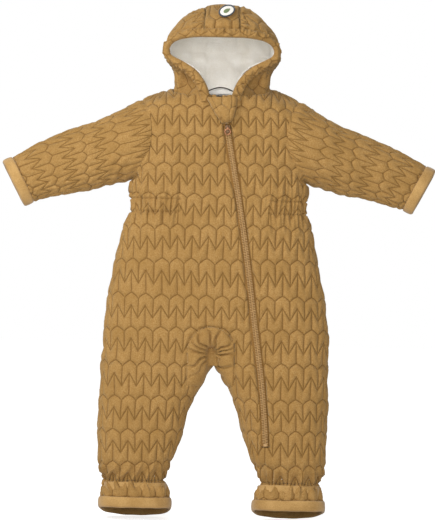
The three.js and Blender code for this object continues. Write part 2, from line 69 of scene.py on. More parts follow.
sleeveLow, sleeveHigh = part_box("left_sleeve")
footHeight = 1000 * min(cadLow.z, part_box("left_ankle_binding")[0].z)
middleDepth = 500 * (sleeveLow.y + sleeveHigh.y)


def toRow(points):
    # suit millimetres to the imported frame's metres
    return (np.asarray(points, float) + (0, middleDepth, footHeight)) / 1000


def toSuit(point):
    return 1000 * np.asarray(point, float) - (0, middleDepth, footHeight)


def smooth(low, high, value):
    t = np.clip((np.asarray(value, float) - low) / (high - low), 0, 1)
    return t * t * (3 - 2 * t)


def mix(a, b, t):
    return a + (b - a) * t


def bump(value, centre, width):
    return np.exp(-(((value - centre) / width) ** 2))


def curveThrough(stops, at, column):
    # a smooth curve through given stops, with slopes that never overshoot
    x = np.array([stop[0] for stop in stops], float)
    y = np.array([stop[column] for stop in stops], float)
    rise = np.diff(y) / np.diff(x)
    slope = np.zeros(len(x))
    slope[0], slope[-1] = rise[0], rise[-1]
    same = rise[:-1] * rise[1:] > 0
    slope[1:-1] = np.where(same, 2 * rise[:-1] * rise[1:] / np.where(same, rise[:-1] + rise[1:], 1), 0)
    at = np.clip(at, x[0], x[-1])
    i = np.clip(np.searchsorted(x, at, side="right") - 1, 0, len(x) - 2)
    h = x[i + 1] - x[i]
    t = (at - x[i]) / h
    return ((1 + 2 * t) * (1 - t) ** 2 * y[i] + t * (1 - t) ** 2 * h * slope[i]
            + t * t * (3 - 2 * t) * y[i + 1] + t * t * (t - 1) * h * slope[i + 1])


def ripple(seed, wavelength, *where):
    # smooth wandering noise between about -1 and 1, the same at every run
    source = np.random.default_rng(seed)
    total = 0
    for _ in range(7):
        direction = source.normal(size=len(where))
        direction *= 2 * math.pi / (np.linalg.norm(direction) * wavelength * source.uniform(0.7, 1.6))
        phase = source.uniform(0, 2 * math.pi)
        total = total + np.sin(sum(d * w for d, w in zip(direction, where)) + phase)
    return total / 3.2


# the quilting: rows of round-topped petals over a zigzag

quilt = {
    "columnWidth": 22.8,
    "columnCentre": -14.0,
    "sleeveColumn": 18.6,
    "sleeveRow": 51.0,
    "petalDrop": 0.19,       # shares of a row's height
    "zigzagTop": 0.36,
    "zigzagFoot": 0.735,
    "stitchDepth": 2.1,
    "stitchWidth": 1.25,
    "puff": 1.5,
    "puffWidth": 6.0,
}

# heights of the petals' tops on the body: row numbers grow downwards
quiltRows = [(-30, 9.2), (31, 8), (81, 7), (131, 6), (181, 5), (232, 4), (283, 3), (334, 2),
             (386.5, 1), (438.5, 0), (485, -1), (530.5, -2), (573, -3), (617, -4), (700, -6)]


def stitchDistance(u, v, columnWidth, rowHeight):
    # millimetres to the nearest stitch line; u counts columns and v counts rows
    side = np.abs(u - np.round(u))
    row = v - np.floor(v)
    wave = quilt["petalDrop"] * (0.5 + side - 0.5 * np.sqrt(np.clip(1 - (2 * side) ** 2, 0, 1)))
    gap = row - wave
    gap = np.abs(gap - np.round(gap)) * rowHeight * 0.82
    zigzag = quilt["zigzagTop"] + 2 * (quilt["zigzagFoot"] - quilt["zigzagTop"]) * side
    gap = np.minimum(gap, np.abs(row - zigzag) * rowHeight * 0.5)
    outer = np.maximum((0.5 - side) * columnWidth,
                       np.maximum(row - quilt["zigzagFoot"], quilt["petalDrop"] - row) * rowHeight)
    inner = np.maximum(side * columnWidth, (quilt["zigzagTop"] - row) * rowHeight)
    return np.minimum(gap, np.minimum(outer, inner))


def quiltHeight(distance):
    return (quilt["stitchDepth"] * (1 - np.exp(-distance / quilt["stitchWidth"]))
            + quilt["puff"] * (1 - np.exp(-((distance / quilt["puffWidth"]) ** 2)))
            - quilt["stitchDepth"] - 0.4 * quilt["puff"])


# tables of points: each row is a closed ring round a tube of cloth

def sectionHalf(half, depth, power, count=240):
    # half of a level ring, from the -x side over the middle to the +x side
    turn = np.linspace(math.pi, 0, count)
    x = half * np.sign(np.cos(turn)) * np.abs(np.cos(turn)) ** (2 / power)
    return x, depth * np.abs(np.sin(turn)) ** (2 / power)


def alongLine(x, y, start, stop, count):
    # evenly spaced points on a line between two x values, and their place along it
    length = np.concatenate([[0], np.cumsum(np.hypot(np.diff(x), np.diff(y)))])
    low, high = np.interp(start, x, length), np.interp(stop, x, length)
    at = np.linspace(low, high, count)
    return np.interp(at, length, x), np.interp(at, length, y), at - np.interp(0.5 * (x[0] + x[-1]), x, length)


def normalsOf(points, closed=True):
    if closed:
        across = np.roll(points, -1, axis=1) - np.roll(points, 1, axis=1)
    else:
        across = np.gradient(points, axis=1)
    along = np.gradient(points, axis=0)
    normal = np.cross(across, along)
    return normal / np.maximum(np.linalg.norm(normal, axis=2, keepdims=True), 1e-9)


def pushed(points, normals, height):
    return points + normals * np.asarray(height)[..., None]


zipLine = {
    "topZ": 589.5,
    "bottomZ": 109.5,
    "slotHalf": 6.0,
    # height and sideways place
    "stops": [(90, 79), (109.5, 78.5), (175, 73.5), (310, 55.5), (423, 39.5), (589.5, 9.5), (650, -2)],
}


def zipX(z):
    return curveThrough(zipLine["stops"], z, 1)


body = {
    # height, half width, front depth, back depth
    "rings": [
        (228, 172.5, 50, 57), (250, 171, 51, 58), (286, 169, 52, 58), (322, 165, 52, 56),
        (358, 159, 52, 55), (394, 152, 52, 54), (430, 143, 51, 52), (448, 137.5, 50, 51),
        (466, 133.5, 49, 50), (484, 134.5, 50, 50), (500, 136, 50, 50), (540, 131, 51, 51),
        (575, 127, 51, 51), (600, 125.5, 51, 50), (617, 123, 49, 48), (627, 118, 48, 46.5),
        (633, 108, 47, 45.5), (638, 94, 46, 45), (642, 82, 45.5, 44), (644, 74, 45, 43.5),
    ],
    "frontSquareness": 3.3,
    "backSquareness": 2.7,
    "frontSpacing": 1.55,
    "neckDip": 0.26,         # the neck seam falls towards the front
    "neckRise": 0.1,
}

leg = {
    # height, inner edge, outer edge, front depth, back depth
    "rings": [
        (21, 62, 169.5, 42, 45), (25, 63, 169, 42, 45), (34, 64.5, 167, 41, 44), (44, 68, 165, 38, 41),
        (52, 71, 163, 36, 38), (60, 69, 165.5, 39, 41), (70, 65, 170, 43, 45), (88, 56, 172.5, 47, 49),
        (124, 45, 173, 49, 52), (160, 36, 172.5, 50, 55), (196, 19, 172.5, 50, 57), (216, 8, 172.5, 50, 57),
        (228, 0.3, 172.5, 50, 57),
    ],
    "squareness": 3.0,
    "footTilt": 0.2,
    "footSag": 4.0,
    "elasticHeight": 52,
}


hipHeight = 228.0            # the legs' tables end here and the trunk's begins


def overLegs(x, y, depth, z):
    # low on the trunk the section turns into the two legs' round tops, side by side
    half = 86.25
    tops = np.clip(1 - np.abs(np.abs(x) / half - 1) ** leg["squareness"], 0, 1) ** (1 / leg["squareness"])
    return mix(y, depth * tops, smooth(292, hipHeight, z))


def levelAtHip(normals, z):
    # level normals where the two tables meet, so that the cloth runs straight through
    flat = normals.copy()
    flat[..., 2] *= smooth(0, 16, np.abs(z - hipHeight))
    return flat / np.linalg.norm(flat, axis=2, keepdims=True)


def bodyTable():
    heights = [hipHeight - 1.4]    # laps the legs a little
    while heights[-1] < body["rings"][-1][0] - 0.3:
        z = heights[-1]
        lean = abs(curveThrough(body["rings"], z + 0.5, 1) - curveThrough(body["rings"], z, 1)) / 0.5
        heights.append(z + body["frontSpacing"] / math.hypot(1, lean))
    heights[-1] = body["rings"][-1][0]
    count = {"right": 150, "slot": 7, "left": 100, "back": 168}
    rows, pattern = [], []
    for z in heights:
        half = curveThrough(body["rings"], z, 1)
        power = mix(body["frontSquareness"], 2.5, smooth(600, 640, z))
        frontDepth, backDepth = (curveThrough(body["rings"], z, k) for k in (2, 3))
        x, y = sectionHalf(half, frontDepth, power)
        y = overLegs(x, y, frontDepth, z)
        backX, backY = sectionHalf(half, backDepth, body["backSquareness"])
        backY = overLegs(backX, backY, backDepth, z)
        slotLeft, slotRight = zipX(z) - zipLine["slotHalf"], zipX(z) + zipLine["slotHalf"]
        pieces = [alongLine(x, y, -half, slotLeft, count["right"]),
                  alongLine(x, y, slotLeft, slotRight, count["slot"] + 2),
                  alongLine(x, y, slotRight, half, count["left"]),
                  alongLine(backX, backY, -half, half, count["back"])]
        frontLine = [np.concatenate([pieces[0][k], pieces[1][k][1:-1], pieces[2][k]]) for k in range(3)]
        backLine = [pieces[3][k][::-1][1:-1] for k in range(3)]
        ring = np.stack([np.concatenate([frontLine[0], backLine[0]]),
                         np.concatenate([-frontLine[1], backLine[1]]),
                         np.full(len(frontLine[0]) + len(backLine[0]), z)], axis=1)
        ring[:, 2] += smooth(585, 640, z) * np.where(
            ring[:, 1] < 0, body["neckDip"] * ring[:, 1], body["neckRise"] * ring[:, 1])
        # pattern distance: x itself in front, length along the cloth towards the sides
        flat = 87
        over = frontLine[2] - np.interp(np.clip(frontLine[0], -flat, flat), frontLine[0], frontLine[2])
        backMiddle = np.clip(backLine[0], -flat, flat)
        backOver = backLine[2] - np.interp(backMiddle, backLine[0][::-1], backLine[2][::-1])
        rows.append(ring)
        pattern.append(np.concatenate([np.clip(frontLine[0], -flat, flat) + over,
                                       backMiddle + backOver]))
    edges = {"right": (0, count["right"] - 1)}
    first = count["right"] + count["slot"]
    edges["left"] = (first, first + count["left"] - 1)
    edges["slot"] = (count["right"] - 1, first)
    edges["back"] = (first + count["left"] - 1, first + count["left"] + count["back"] - 2)
    return np.array(rows), np.array(pattern), edges


def legTable(side):
    heights = np.concatenate([np.arange(21, 52, 1.5), np.arange(52, 228, 1.6), [228.0]])
    count = {"a": 66, "slot": 7, "b": 84, "back": 110}
    rows, pattern = [], []
    for z in heights:
        inner = curveThrough(leg["rings"], z, 1)
        outer = curveThrough(leg["rings"], z, 2)
        middle, half = side * (inner + outer) / 2, (outer - inner) / 2
        power = leg["squareness"] + mix(-0.3, 0, smooth(40, 120, z))
        x, y = sectionHalf(half, curveThrough(leg["rings"], z, 3), power)
        backX, backY = sectionHalf(half, curveThrough(leg["rings"], z, 4), power)
        seam = zipX(z) if side > 0 else middle
        stops = np.array([seam - zipLine["slotHalf"], seam + zipLine["slotHalf"]]) - middle
        pieces = [alongLine(x, y, -half, stops[0], count["a"]),
                  alongLine(x, y, stops[0], stops[1], count["slot"] + 2),
                  alongLine(x, y, stops[1], half, count["b"]),
                  alongLine(backX, backY, -half, half, count["back"])]
        front = [np.concatenate([pieces[0][k], pieces[1][k][1:-1], pieces[2][k]]) for k in range(3)]
        back = [pieces[3][k][::-1][1:-1] for k in range(3)]
        ring = np.stack([middle + np.concatenate([front[0], back[0]]),
                         np.concatenate([-front[1], back[1]]),
                         np.full(len(front[0]) + len(back[0]), z)], axis=1)
        sag = leg["footSag"] * (ring[:, 1] / 42) ** 2
        ring[:, 2] -= (ring[:, 1] * leg["footTilt"] + sag) * smooth(52, 24, z)
        rows.append(ring)
        along = middle + np.concatenate([front[2], back[2]])
        inward = side * ring[:, 0] < side * middle
        pattern.append(np.where(inward, mix(along, ring[:, 0], smooth(160, hipHeight, z)), along))
    first = count["a"] + count["slot"]
    edges = {"a": (0, count["a"] - 1), "slot": (count["a"] - 1, first),
             "b": (first, first + count["b"] - 1),
             "front": (0, first + count["b"] - 1),
             "back": (first + count["b"] - 1, first + count["b"] + count["back"] - 2)}
    return np.array(rows), np.array(pattern), edges


sleeve = {
    # upper and lower edges in front view, from the armhole to the wrist binding
    "top": [(0, 116, 629), (0.1, 136, 619.5), (0.2, 153, 609.5), (0.38, 186, 592), (0.6, 229.5, 574),
            (0.8, 271.5, 556), (1, 315, 532)],
    "bottom": [(0, 119, 508), (0.1, 144, 500), (0.2, 163, 494.5), (0.38, 194, 487), (0.6, 228, 479),
               (0.8, 257, 472), (1, 281, 467)],
    "depth": [(0, 46), (0.15, 43), (0.4, 37), (0.7, 32), (1, 27)],
    "squareness": 2.25,
    "armholeSink": 15.0,     # the seam turns in round the body in front and behind
    "cuffTilt": 0.08,
}


def sleeveTable(side, rowCount=118, columns=150):
    shares = np.linspace(0, 1, rowCount)
    turns = np.linspace(0, 2 * math.pi, columns, endpoint=False)
    rows, pattern, out = [], [], []
    for t in shares:
        top = np.array([curveThrough(sleeve["top"], t, 1), curveThrough(sleeve["top"], t, 2)])
        low = np.array([curveThrough(sleeve["bottom"], t, 1), curveThrough(sleeve["bottom"], t, 2)])
        depth = curveThrough(sleeve["depth"], t, 1)
        cosine, sine = np.cos(turns), np.sin(turns)
        power = 2 / sleeve["squareness"]
        up = np.sign(cosine) * np.abs(cosine) ** power
        forward = -np.sign(sine) * np.abs(sine) ** power * depth
        centre, half = (top + low) / 2, (top - low) / 2
        x = centre[0] + half[0] * up
        z = centre[1] + half[1] * up
        x -= sleeve["armholeSink"] * (1 - smooth(0, 0.25, t)) * (forward / depth) ** 2
        lean = sleeve["cuffTilt"] * smooth(0.7, 1.0, t) * forward
        x += lean * 0.91
        z -= lean * 0.41
        ring = np.stack([side * x, forward, z], axis=1)
        length = np.linalg.norm(np.roll(ring, -1, axis=0) - ring, axis=1)
        around = np.concatenate([[0], np.cumsum(length)[:-1]])
        quarter = np.interp(math.pi / 2, turns, around)
        rows.append(ring)
        pattern.append(around - quarter)
        out.append(np.full(columns, t * 195.0))
    return np.array(rows), np.array(pattern), np.array(out)


hood = {
    # height, half width, front depth, back depth, front squareness
    "rings": [
        (624, 77, 47, 45, 2.5), (632, 75, 47.5, 46, 2.4), (640, 73, 49, 48, 2.2), (650, 72, 50, 51, 2.0),
        (660, 73, 52, 56, 2.0), (671, 77, 55, 64, 2.2), (681, 84, 58, 72, 2.6), (691, 88.5, 61, 78, 2.9),
        (701, 88.5, 62, 82, 3.0), (718, 84, 62, 84, 2.8), (727, 79, 61, 82, 2.6), (736, 72, 58, 78, 2.4),
        (745, 63.5, 54, 71, 2.2), (754, 54.5, 47, 61, 2.1), (763, 43, 37, 48, 2.0), (769, 28, 24, 31, 2.0),
        (772, 2, 2, 2, 2.0),
    ],
    "faceOpening": [
        (0, 623), (9, 623), (15, 624.5), (18, 637), (24, 651), (37, 667), (57, 680), (75, 689.5), (80, 698),
        (75, 708), (58, 714.5), (30, 717), (0, 717),
    ],
    "stripHalf": 27.0,
}


def hoodRing(z, columns):
    half, front, back, power = (curveThrough(hood["rings"], z, k) for k in (1, 2, 3, 4))
    turns = np.linspace(0, 2 * math.pi, columns, endpoint=False) - math.pi / 2
    cosine, sine = np.cos(turns), np.sin(turns)
    frontPart = sine < 0
    shape = np.where(frontPart, power, 2.2)
    x = half * np.sign(cosine) * np.abs(cosine) ** (2 / shape)
    y = np.sign(sine) * np.abs(sine) ** (2 / shape) * np.where(frontPart, front, back)
    return np.stack([x, y, np.full(columns, z)], axis=1)


def hoodTable(columns=300):
    heights = [hood["rings"][0][0]]
    while heights[-1] < 771.9:
        z = heights[-1]
        lean = abs(curveThrough(hood["rings"], z + 0.2, 1) - curveThrough(hood["rings"], z, 1)) / 0.2
        heights.append(min(z + 1.8 / math.hypot(1, lean), 772))
    rows = np.array([hoodRing(z, columns) for z in heights])
    tilt = np.where(rows[..., 1] < 0, body["neckDip"], body["neckRise"]) * rows[..., 1]
    rows[..., 2] += tilt * (1 - smooth(640, 680, rows[..., 2]))
    # hollows between the brim and the neck
    hollow = bump(np.abs(rows[..., 0]), 50, 16) * bump(rows[..., 2], 652, 17)
    rows[..., 1] += 21 * hollow * smooth(-6, -34, rows[..., 1])
    return rows


# pieces from tables

def pieceFrom(name, points, material, uv=None, close=False, wall=0.0, marks=None, choose=None):
    # a grid of the table's size, moved onto its points; choose keeps faces by their corners' marks
    rowCount, columnCount = points.shape[:2]
    columns = columnCount + 1 if close else columnCount
    shape = bmesh.new()
    bmesh.ops.create_grid(shape, x_segments=columns - 1, y_segments=rowCount - 1, size=0.5)
    mesh = bpy.data.meshes.new(name)
    shape.to_mesh(mesh)
    shape.free()
    flat = np.zeros(len(mesh.vertices) * 3)
    mesh.vertices.foreach_get("co", flat)
    flat = flat.reshape(-1, 3)
    i = np.rint((flat[:, 0] + 0.5) * (columns - 1)).astype(int)
    j = np.rint((flat[:, 1] + 0.5) * (rowCount - 1)).astype(int)
    placed = toRow(points[j, i % columnCount])
    mesh.vertices.foreach_set("co", placed.astype(np.float32).ravel())
    if uv is not None:
        layer = mesh.uv_layers.new(name="cloth")
        corner = np.zeros(len(mesh.loops), int)
        mesh.loops.foreach_get("vertex_index", corner)
        layer.data.foreach_set("uv", uv[j, i % columnCount][corner].astype(np.float32).ravel())
    if choose is not None:
        corners = np.zeros(len(mesh.polygons) * 4, int)
        mesh.polygons.foreach_get("vertices", corners)
        kept = choose(marks[j, i % columnCount][corners.reshape(-1, 4)])
        shape = bmesh.new()
        shape.from_mesh(mesh)
        gone = [face for face in shape.faces if not kept[face.index]]
        bmesh.ops.delete(shape, geom=gone, context="FACES")
        shape.to_mesh(mesh)
        shape.free()
    return finishPiece(name, mesh, material, wall)


def finishPiece(name, mesh, material, wall=0.0):
    shape = bmesh.new()
    shape.from_mesh(mesh)
    bmesh.ops.remove_doubles(shape, verts=shape.verts, dist=1e-5)
    shape.to_mesh(mesh)
    shape.free()
    mesh.shade_smooth()
    piece = bpy.data.objects.new(name, mesh)
    bpy.context.scene.collection.objects.link(piece)
    mesh.materials.append(material)
    if wall:
        solid = piece.modifiers.new("thickness", "SOLIDIFY")
        solid.thickness = wall / 1000
        solid.offset = -1
    return piece


# materials

def colour(code):
    # sRGB hex to linear
    parts = [int(code[i:i + 2], 16) / 255 for i in (0, 2, 4)]
    return (*[c / 12.92 if c <= 0.04045 else ((c + 0.055) / 1.055) ** 2.4 for c in parts], 1)


def addNode(tree, kind, inputs=None, **settings):
    node = tree.nodes.new(kind)
    for key, value in settings.items():
        setattr(node, key, value)
    for key, value in (inputs or {}).items():
        if isinstance(value, bpy.types.NodeSocket):
            tree.links.new(value, node.inputs[key])
        else:
            node.inputs[key].default_value = value
    return node


def newMaterial(name, roughness, **shader):
    material = bpy.data.materials.new(name)
    material.use_nodes = True
    tree = material.node_tree
    principled = tree.nodes["Principled BSDF"]
    principled.inputs["Roughness"].default_value = roughness
    for key, value in shader.items():
        principled.inputs[key.replace("_", " ")].default_value = value
    where = addNode(tree, "ShaderNodeTexCoord")
    return material, tree, principled, where


def colourBetween(tree, factor, low, high):
    return addNode(tree, "ShaderNodeMix", {"Factor": factor, "A": low, "B": high}, data_type="RGBA")


def stitchLines(tree, where):
    # the quilting's stitch distance again, in millimetres, from the cloth's own columns and rows
    def maths(operation, a, b=0.0):
        return addNode(tree, "ShaderNodeMath", {0: a, 1: b}, operation=operation).outputs[0]

    split = addNode(tree, "ShaderNodeSeparateXYZ", {0: where.outputs["UV"]})
    side = maths("PINGPONG", split.outputs[0], 0.5)
    row = maths("FRACT", split.outputs[1])
    rowHeight, columnWidth = 51.0, quilt["columnWidth"]
    roundness = maths("SQRT", maths("SUBTRACT", 1.0, maths("POWER", maths("MULTIPLY", side, 2.0), 2.0)))
    arch = maths("SUBTRACT", maths("ADD", side, 0.5), maths("MULTIPLY", roundness, 0.5))
    wave = maths("MULTIPLY", arch, quilt["petalDrop"])
    waveGap = maths("MULTIPLY", maths("PINGPONG", maths("SUBTRACT", row, wave), 0.5), 0.82 * rowHeight)
    steepness = 2 * (quilt["zigzagFoot"] - quilt["zigzagTop"])
    zigzag = maths("ADD", maths("MULTIPLY", side, steepness), quilt["zigzagTop"])
    zigzagGap = maths("MULTIPLY", maths("ABSOLUTE", maths("SUBTRACT", row, zigzag)), 0.5 * rowHeight)
    belowFoot = maths("MULTIPLY", maths("SUBTRACT", row, quilt["zigzagFoot"]), rowHeight)
    aboveWave = maths("MULTIPLY", maths("SUBTRACT", quilt["petalDrop"], row), rowHeight)
    outer = maths("MAXIMUM", maths("MULTIPLY", maths("SUBTRACT", 0.5, side), columnWidth),
                 maths("MAXIMUM", belowFoot, aboveWave))
    aboveZigzag = maths("MULTIPLY", maths("SUBTRACT", quilt["zigzagTop"], row), rowHeight)
    inner = maths("MAXIMUM", maths("MULTIPLY", side, columnWidth), aboveZigzag)
    return maths("MINIMUM", maths("MINIMUM", waveGap, zigzagGap), maths("MINIMUM", outer, inner))


def velour(name, stitched):
    # cotton velour: a short dense pile, dull face on and paler at a grazing angle
    material, tree, principled, where = newMaterial(
        name, 0.92, Sheen_Weight=0.35, Sheen_Roughness=0.45, Sheen_Tint=colour("ead2a8"),
        Specular_IOR_Level=0.15)
    pile = addNode(tree, "ShaderNodeTexNoise", {"Vector": where.outputs["Object"], "Scale": 620.0,
                                                "Detail": 2.0, "Roughness": 0.7})
    brushed = addNode(tree, "ShaderNodeTexNoise", {"Vector": where.outputs["Object"], "Scale": 34.0,
                                                   "Detail": 3.0, "Roughness": 0.6})
    speckle = addNode(tree, "ShaderNodeMapRange", {"Value": pile.outputs[0], "From Min": 0.36,
                                                   "From Max": 0.64})
    cloth = colourBetween(tree, speckle.outputs[0], colour("8f6b38"), colour("a88552"))
    patch = addNode(tree, "ShaderNodeMapRange", {"Value": brushed.outputs[0], "From Min": 0.35,
                                                 "From Max": 0.65, "To Max": 0.45})
    cloth = colourBetween(tree, patch.outputs[0], cloth.outputs["Result"], colour("896735"))
    height = addNode(tree, "ShaderNodeMath", {0: pile.outputs[0], 1: 0.0004}, operation="MULTIPLY")
    if stitched:
        gap = stitchLines(tree, where)
        # painted shade: the base colour is darkened towards 6b4b20 along the stitch grooves, standing in for
        # the shade that falls in them
        line = addNode(tree, "ShaderNodeMapRange", {"Value": gap, "From Min": 0.1, "From Max": 1.15,
                                                    "To Min": 0.78, "To Max": 0.0})
        cloth = colourBetween(tree, line.outputs[0], cloth.outputs["Result"], colour("6b4b20"))
        sunk = addNode(tree, "ShaderNodeMapRange", {"Value": gap, "From Max": 1.6, "To Max": 0.0008},
                       interpolation_type="SMOOTHSTEP")
        height = addNode(tree, "ShaderNodeMath", {0: height.outputs[0], 1: sunk.outputs[0]}, operation="ADD")
    relief = addNode(tree, "ShaderNodeBump", {"Height": height.outputs[0], "Strength": 0.7, "Distance": 1.0})
    tree.links.new(cloth.outputs["Result"], principled.inputs["Base Color"])
    tree.links.new(relief.outputs[0], principled.inputs["Normal"])
    return material


def knit(name, dark, light, loops, roughness=0.85, sheen=0.25, relief=0.00012):
    # knitted or woven cloth: fine ribs, given as loops to the millimetre along the object's height
    material, tree, principled, where = newMaterial(name, roughness, Sheen_Weight=sheen,
                                                    Specular_IOR_Level=0.2)
    fine = addNode(tree, "ShaderNodeTexNoise", {"Vector": where.outputs["Object"], "Scale": 1000 * loops,
                                                "Detail": 1.0})
    broad = addNode(tree, "ShaderNodeTexNoise", {"Vector": where.outputs["Object"], "Scale": 40.0,
                                                 "Detail": 2.0})
    both = addNode(tree, "ShaderNodeMath", {0: fine.outputs[0], 1: broad.outputs[0]}, operation="ADD")
    share = addNode(tree, "ShaderNodeMapRange", {"Value": both.outputs[0], "From Min": 0.7, "From Max": 1.3})
    cloth = colourBetween(tree, share.outputs[0], colour(dark), colour(light))
    height = addNode(tree, "ShaderNodeMath", {0: fine.outputs[0], 1: relief}, operation="MULTIPLY")
    dent = addNode(tree, "ShaderNodeBump", {"Height": height.outputs[0], "Strength": 0.6, "Distance": 1.0})
    tree.links.new(cloth.outputs["Result"], principled.inputs["Base Color"])
    tree.links.new(dent.outputs[0], principled.inputs["Normal"])
    return material


quiltedVelour = velour("quilted cotton velour", True)
plainVelour = velour("plain cotton velour", False)
# fine ribbed jersey, smoother and a little paler than the velour
bindingJersey = knit("stretch jersey binding", "98743f", "b8935c", 0.9)
# soft off-white cotton with a faint nap
brushedLining = knit("brushed cotton lining", "ece7dd", "f9f6f0", 0.7, 0.95, 0.3)
# off-white corded elastic
wovenElastic = knit("woven elastic", "d9d2c4", "efe9dd", 1.2)
# dull brown herringbone tape
zipTapeWeave = knit("woven zip tape", "6e4c1f", "8f6a36", 1.1)
# dark woven tape, matt
loopWeave = knit("woven hanger tape", "3f3a35", "5d564e", 1.1)
# twisted thread with a slight shine
sewingThread = knit("polyester sewing thread", "7a5524", "94703a", 2.0, 0.6)
# the badge: white twill with slate and sage embroidery
badgeTwill = knit("embroidered twill", "e6e1d6", "f4f0e8", 1.4, 0.7)
badgeThread = knit("slate embroidery thread", "2c333c", "4a525c", 1.6, 0.5)
leafThread = knit("sage embroidery thread", "5f6f4a", "879769", 1.6, 0.5)


def hardMaterial(name, base, roughness, metallic=0.0, worn=0.08, **shader):
    # moulded nylon or lacquered metal, its gloss broken by handling
    material, tree, principled, where = newMaterial(name, roughness, Metallic=metallic, **shader)
    smear = addNode(tree, "ShaderNodeTexNoise", {"Vector": where.outputs["Object"], "Scale": 300.0,
                                                 "Detail": 3.0})
    gloss = addNode(tree, "ShaderNodeMapRange", {"Value": smear.outputs[0], "To Min": roughness - worn,
                                                 "To Max": roughness + worn})
    tone = colourBetween(tree, smear.outputs[0], colour(base[0]), colour(base[1]))
    tree.links.new(tone.outputs["Result"], principled.inputs["Base Color"])
    tree.links.new(gloss.outputs[0], principled.inputs["Roughness"])
    return material


# moulded teeth: a soft gloss, tan
zipNylon = hardMaterial("moulded nylon zip teeth", ("8a6431", "c09a63"), 0.42)
# brown lacquer over zinc, half matt
zipLacquer = hardMaterial("lacquered zinc slider", ("4f3820", "6d4e2e"), 0.4, 0.5)
# copper plating, brushed by wear
pullCopper = hardMaterial("copper-plated zinc ring pull", ("7d5236", "a87652"), 0.45, 0.6)


# the trunk

gusset = {"x": -6.0, "z": 250.0, "radius": 36.0, "bottom": 196.0, "pleats": 6.5, "pleatDepth": 5.0}


def gussetReach(x, z):
    # distance from the crotch, measured straight sideways below it
    return np.where(z > gusset["z"], np.hypot(x - gusset["x"], z - gusset["z"]), np.abs(x - gusset["x"]))


def withGusset(height, x, z):
    # inside the horseshoe seam the quilting gives way to deep gathers that meet at the crotch
    reach = gussetReach(x, z)
    seam = gusset["radius"]
    fade = smooth(gusset["bottom"] - 12, gusset["bottom"] + 8, z)
    turn = np.arctan2(z - gusset["z"] + 4, x - gusset["x"])
    place = gusset["pleats"] * (turn + 0.12 * 1.6 * ripple(61, 32, x, z)) / math.pi
    crease = 1 - 1.7 * np.abs(np.sin(math.pi * place)) ** 9
    pleats = gusset["pleatDepth"] * crease * smooth(3, 12, reach)
    pleats = pleats * (1 - 0.6 * smooth(seam - 14, seam, reach)) * mix(0.3, 1, smooth(212, 240, z))
    inner = smooth(seam + 1, seam - 2, reach) * fade
    height = mix(height, 0.9 * pleats + 2.0 * bump(reach, 0.55 * seam, 14), inner)
    height = height - 9 * bump(np.hypot(x - gusset["x"] - 1, z - gusset["z"]), 0, 4.6)
    return height - 2.8 * fade * bump(reach, seam, 1.4)


def waistGather(place, z, gathered):
    # cloth drawn up by the elastic: fine pleats in the casing, wider folds above and below
    band = bump(z, 466, 11)
    around = 1 - np.exp(-(((z - 466) / 8) ** 2))
    fine = np.sin(2 * math.pi * (place + 3 * ripple(3, 60, place, z)) / 7.5)
    wide = np.sin(2 * math.pi * (place + 5 * ripple(4, 70, place, z)) / 19)
    spread = bump(z, 466, 34) * around
    casing = -3.2 * (bump(z, 456.5, 1.4) + bump(z, 475.5, 1.4))
    return gathered * (1.5 * fine * band + (2.0 * wide + 1.1 * fine) * spread + casing)


def drape(points, strength=1.0):
    x, y, z = np.moveaxis(points, 2, 0)
    return strength * (1.6 * ripple(11, 120, x, y, z) + 0.9 * ripple(12, 55, x, y, z))


def clothPlace(pattern, points):
    # quilting columns and rows, let wander a little as hand-fed cloth does
    x, y, z = np.moveaxis(points, 2, 0)
    u = (pattern + 1.4 * ripple(5, 80, x, y, z) - quilt["columnCentre"]) / quilt["columnWidth"]
    heights, rows = zip(*quiltRows)
    v = np.interp(z + 1.4 * ripple(6, 80, x, y, z), heights, rows)
    return np.stack([u, v], axis=2)


def quilted(place, columnWidth, rowHeight):
    return quiltHeight(stitchDistance(place[..., 0], place[..., 1], columnWidth, rowHeight))


def declare(piece, nodes, slot, body=None, blend=None):
    if nodes:
        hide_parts(*nodes)
    if blend:
        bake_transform(piece)
    else:
        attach(piece, body)
    return piece


def quiltPiece(name, rows, place, nodes, body=None, blend=None, wall=4.0, fill=0.45,
               cloth=quiltedVelour, **more):
    piece = pieceFrom(name, rows, cloth, uv=place, wall=wall, **more)
    return declare(piece, nodes, "velour", body, blend)


def liningPiece(name, rows, nodes, flat, body=None, blend=None, onto=(), **more):
    piece = pieceFrom(name, rows, brushedLining, wall=0.9, **more)
    return declare(piece, nodes, "lining_cotton", body, blend)


def inside(points, normals, inset, seed=21):
    where = np.moveaxis(points, 2, 0)
    soft = 1.2 * ripple(seed, 70, *where) + 0.6 * ripple(seed + 1, 28, *where)
    return pushed(points, normals, soft - inset)


def columnsOf(table, edge):
    return table[:, edge[0]:edge[1] + 1]


def backOf(table, edges):
    return np.concatenate([table[:, edges["back"][0]:], table[:, :1]], axis=1)


def ribbonPiece(name, rows, nodes, body=None, blend=None, close=False, thick=1.1):
    # elastic: cords run along it, and it lies in small waves
    places = np.arange(rows.shape[0])[:, None] + 0 * np.arange(rows.shape[1])[None]
    waved = rows + normalsOf(rows, close) * (0.35 * np.cos(math.pi * places))[..., None]
    piece = pieceFrom(name, waved, wovenElastic, close=close, wall=thick)
    return declare(piece, nodes, "elastic_rib", body, blend)


def besideZip(x, y, z, height, fade):
    # the edges beside the zip turn in, and pucker where the tape is sewn
    across = np.abs(x - zipX(z)) - zipLine["slotHalf"]
    pucker = bump(across, 6, 6) * np.sin(2 * math.pi * (z + 4 * ripple(8, 50, z, x)) / 11)
    seamRow = bump(across, 9.5, 1.1)
    return height + (y < 0) * fade * (0.5 * pucker - 2.6 * np.exp(-((across / 1.8) ** 2)) - 0.5 * seamRow)


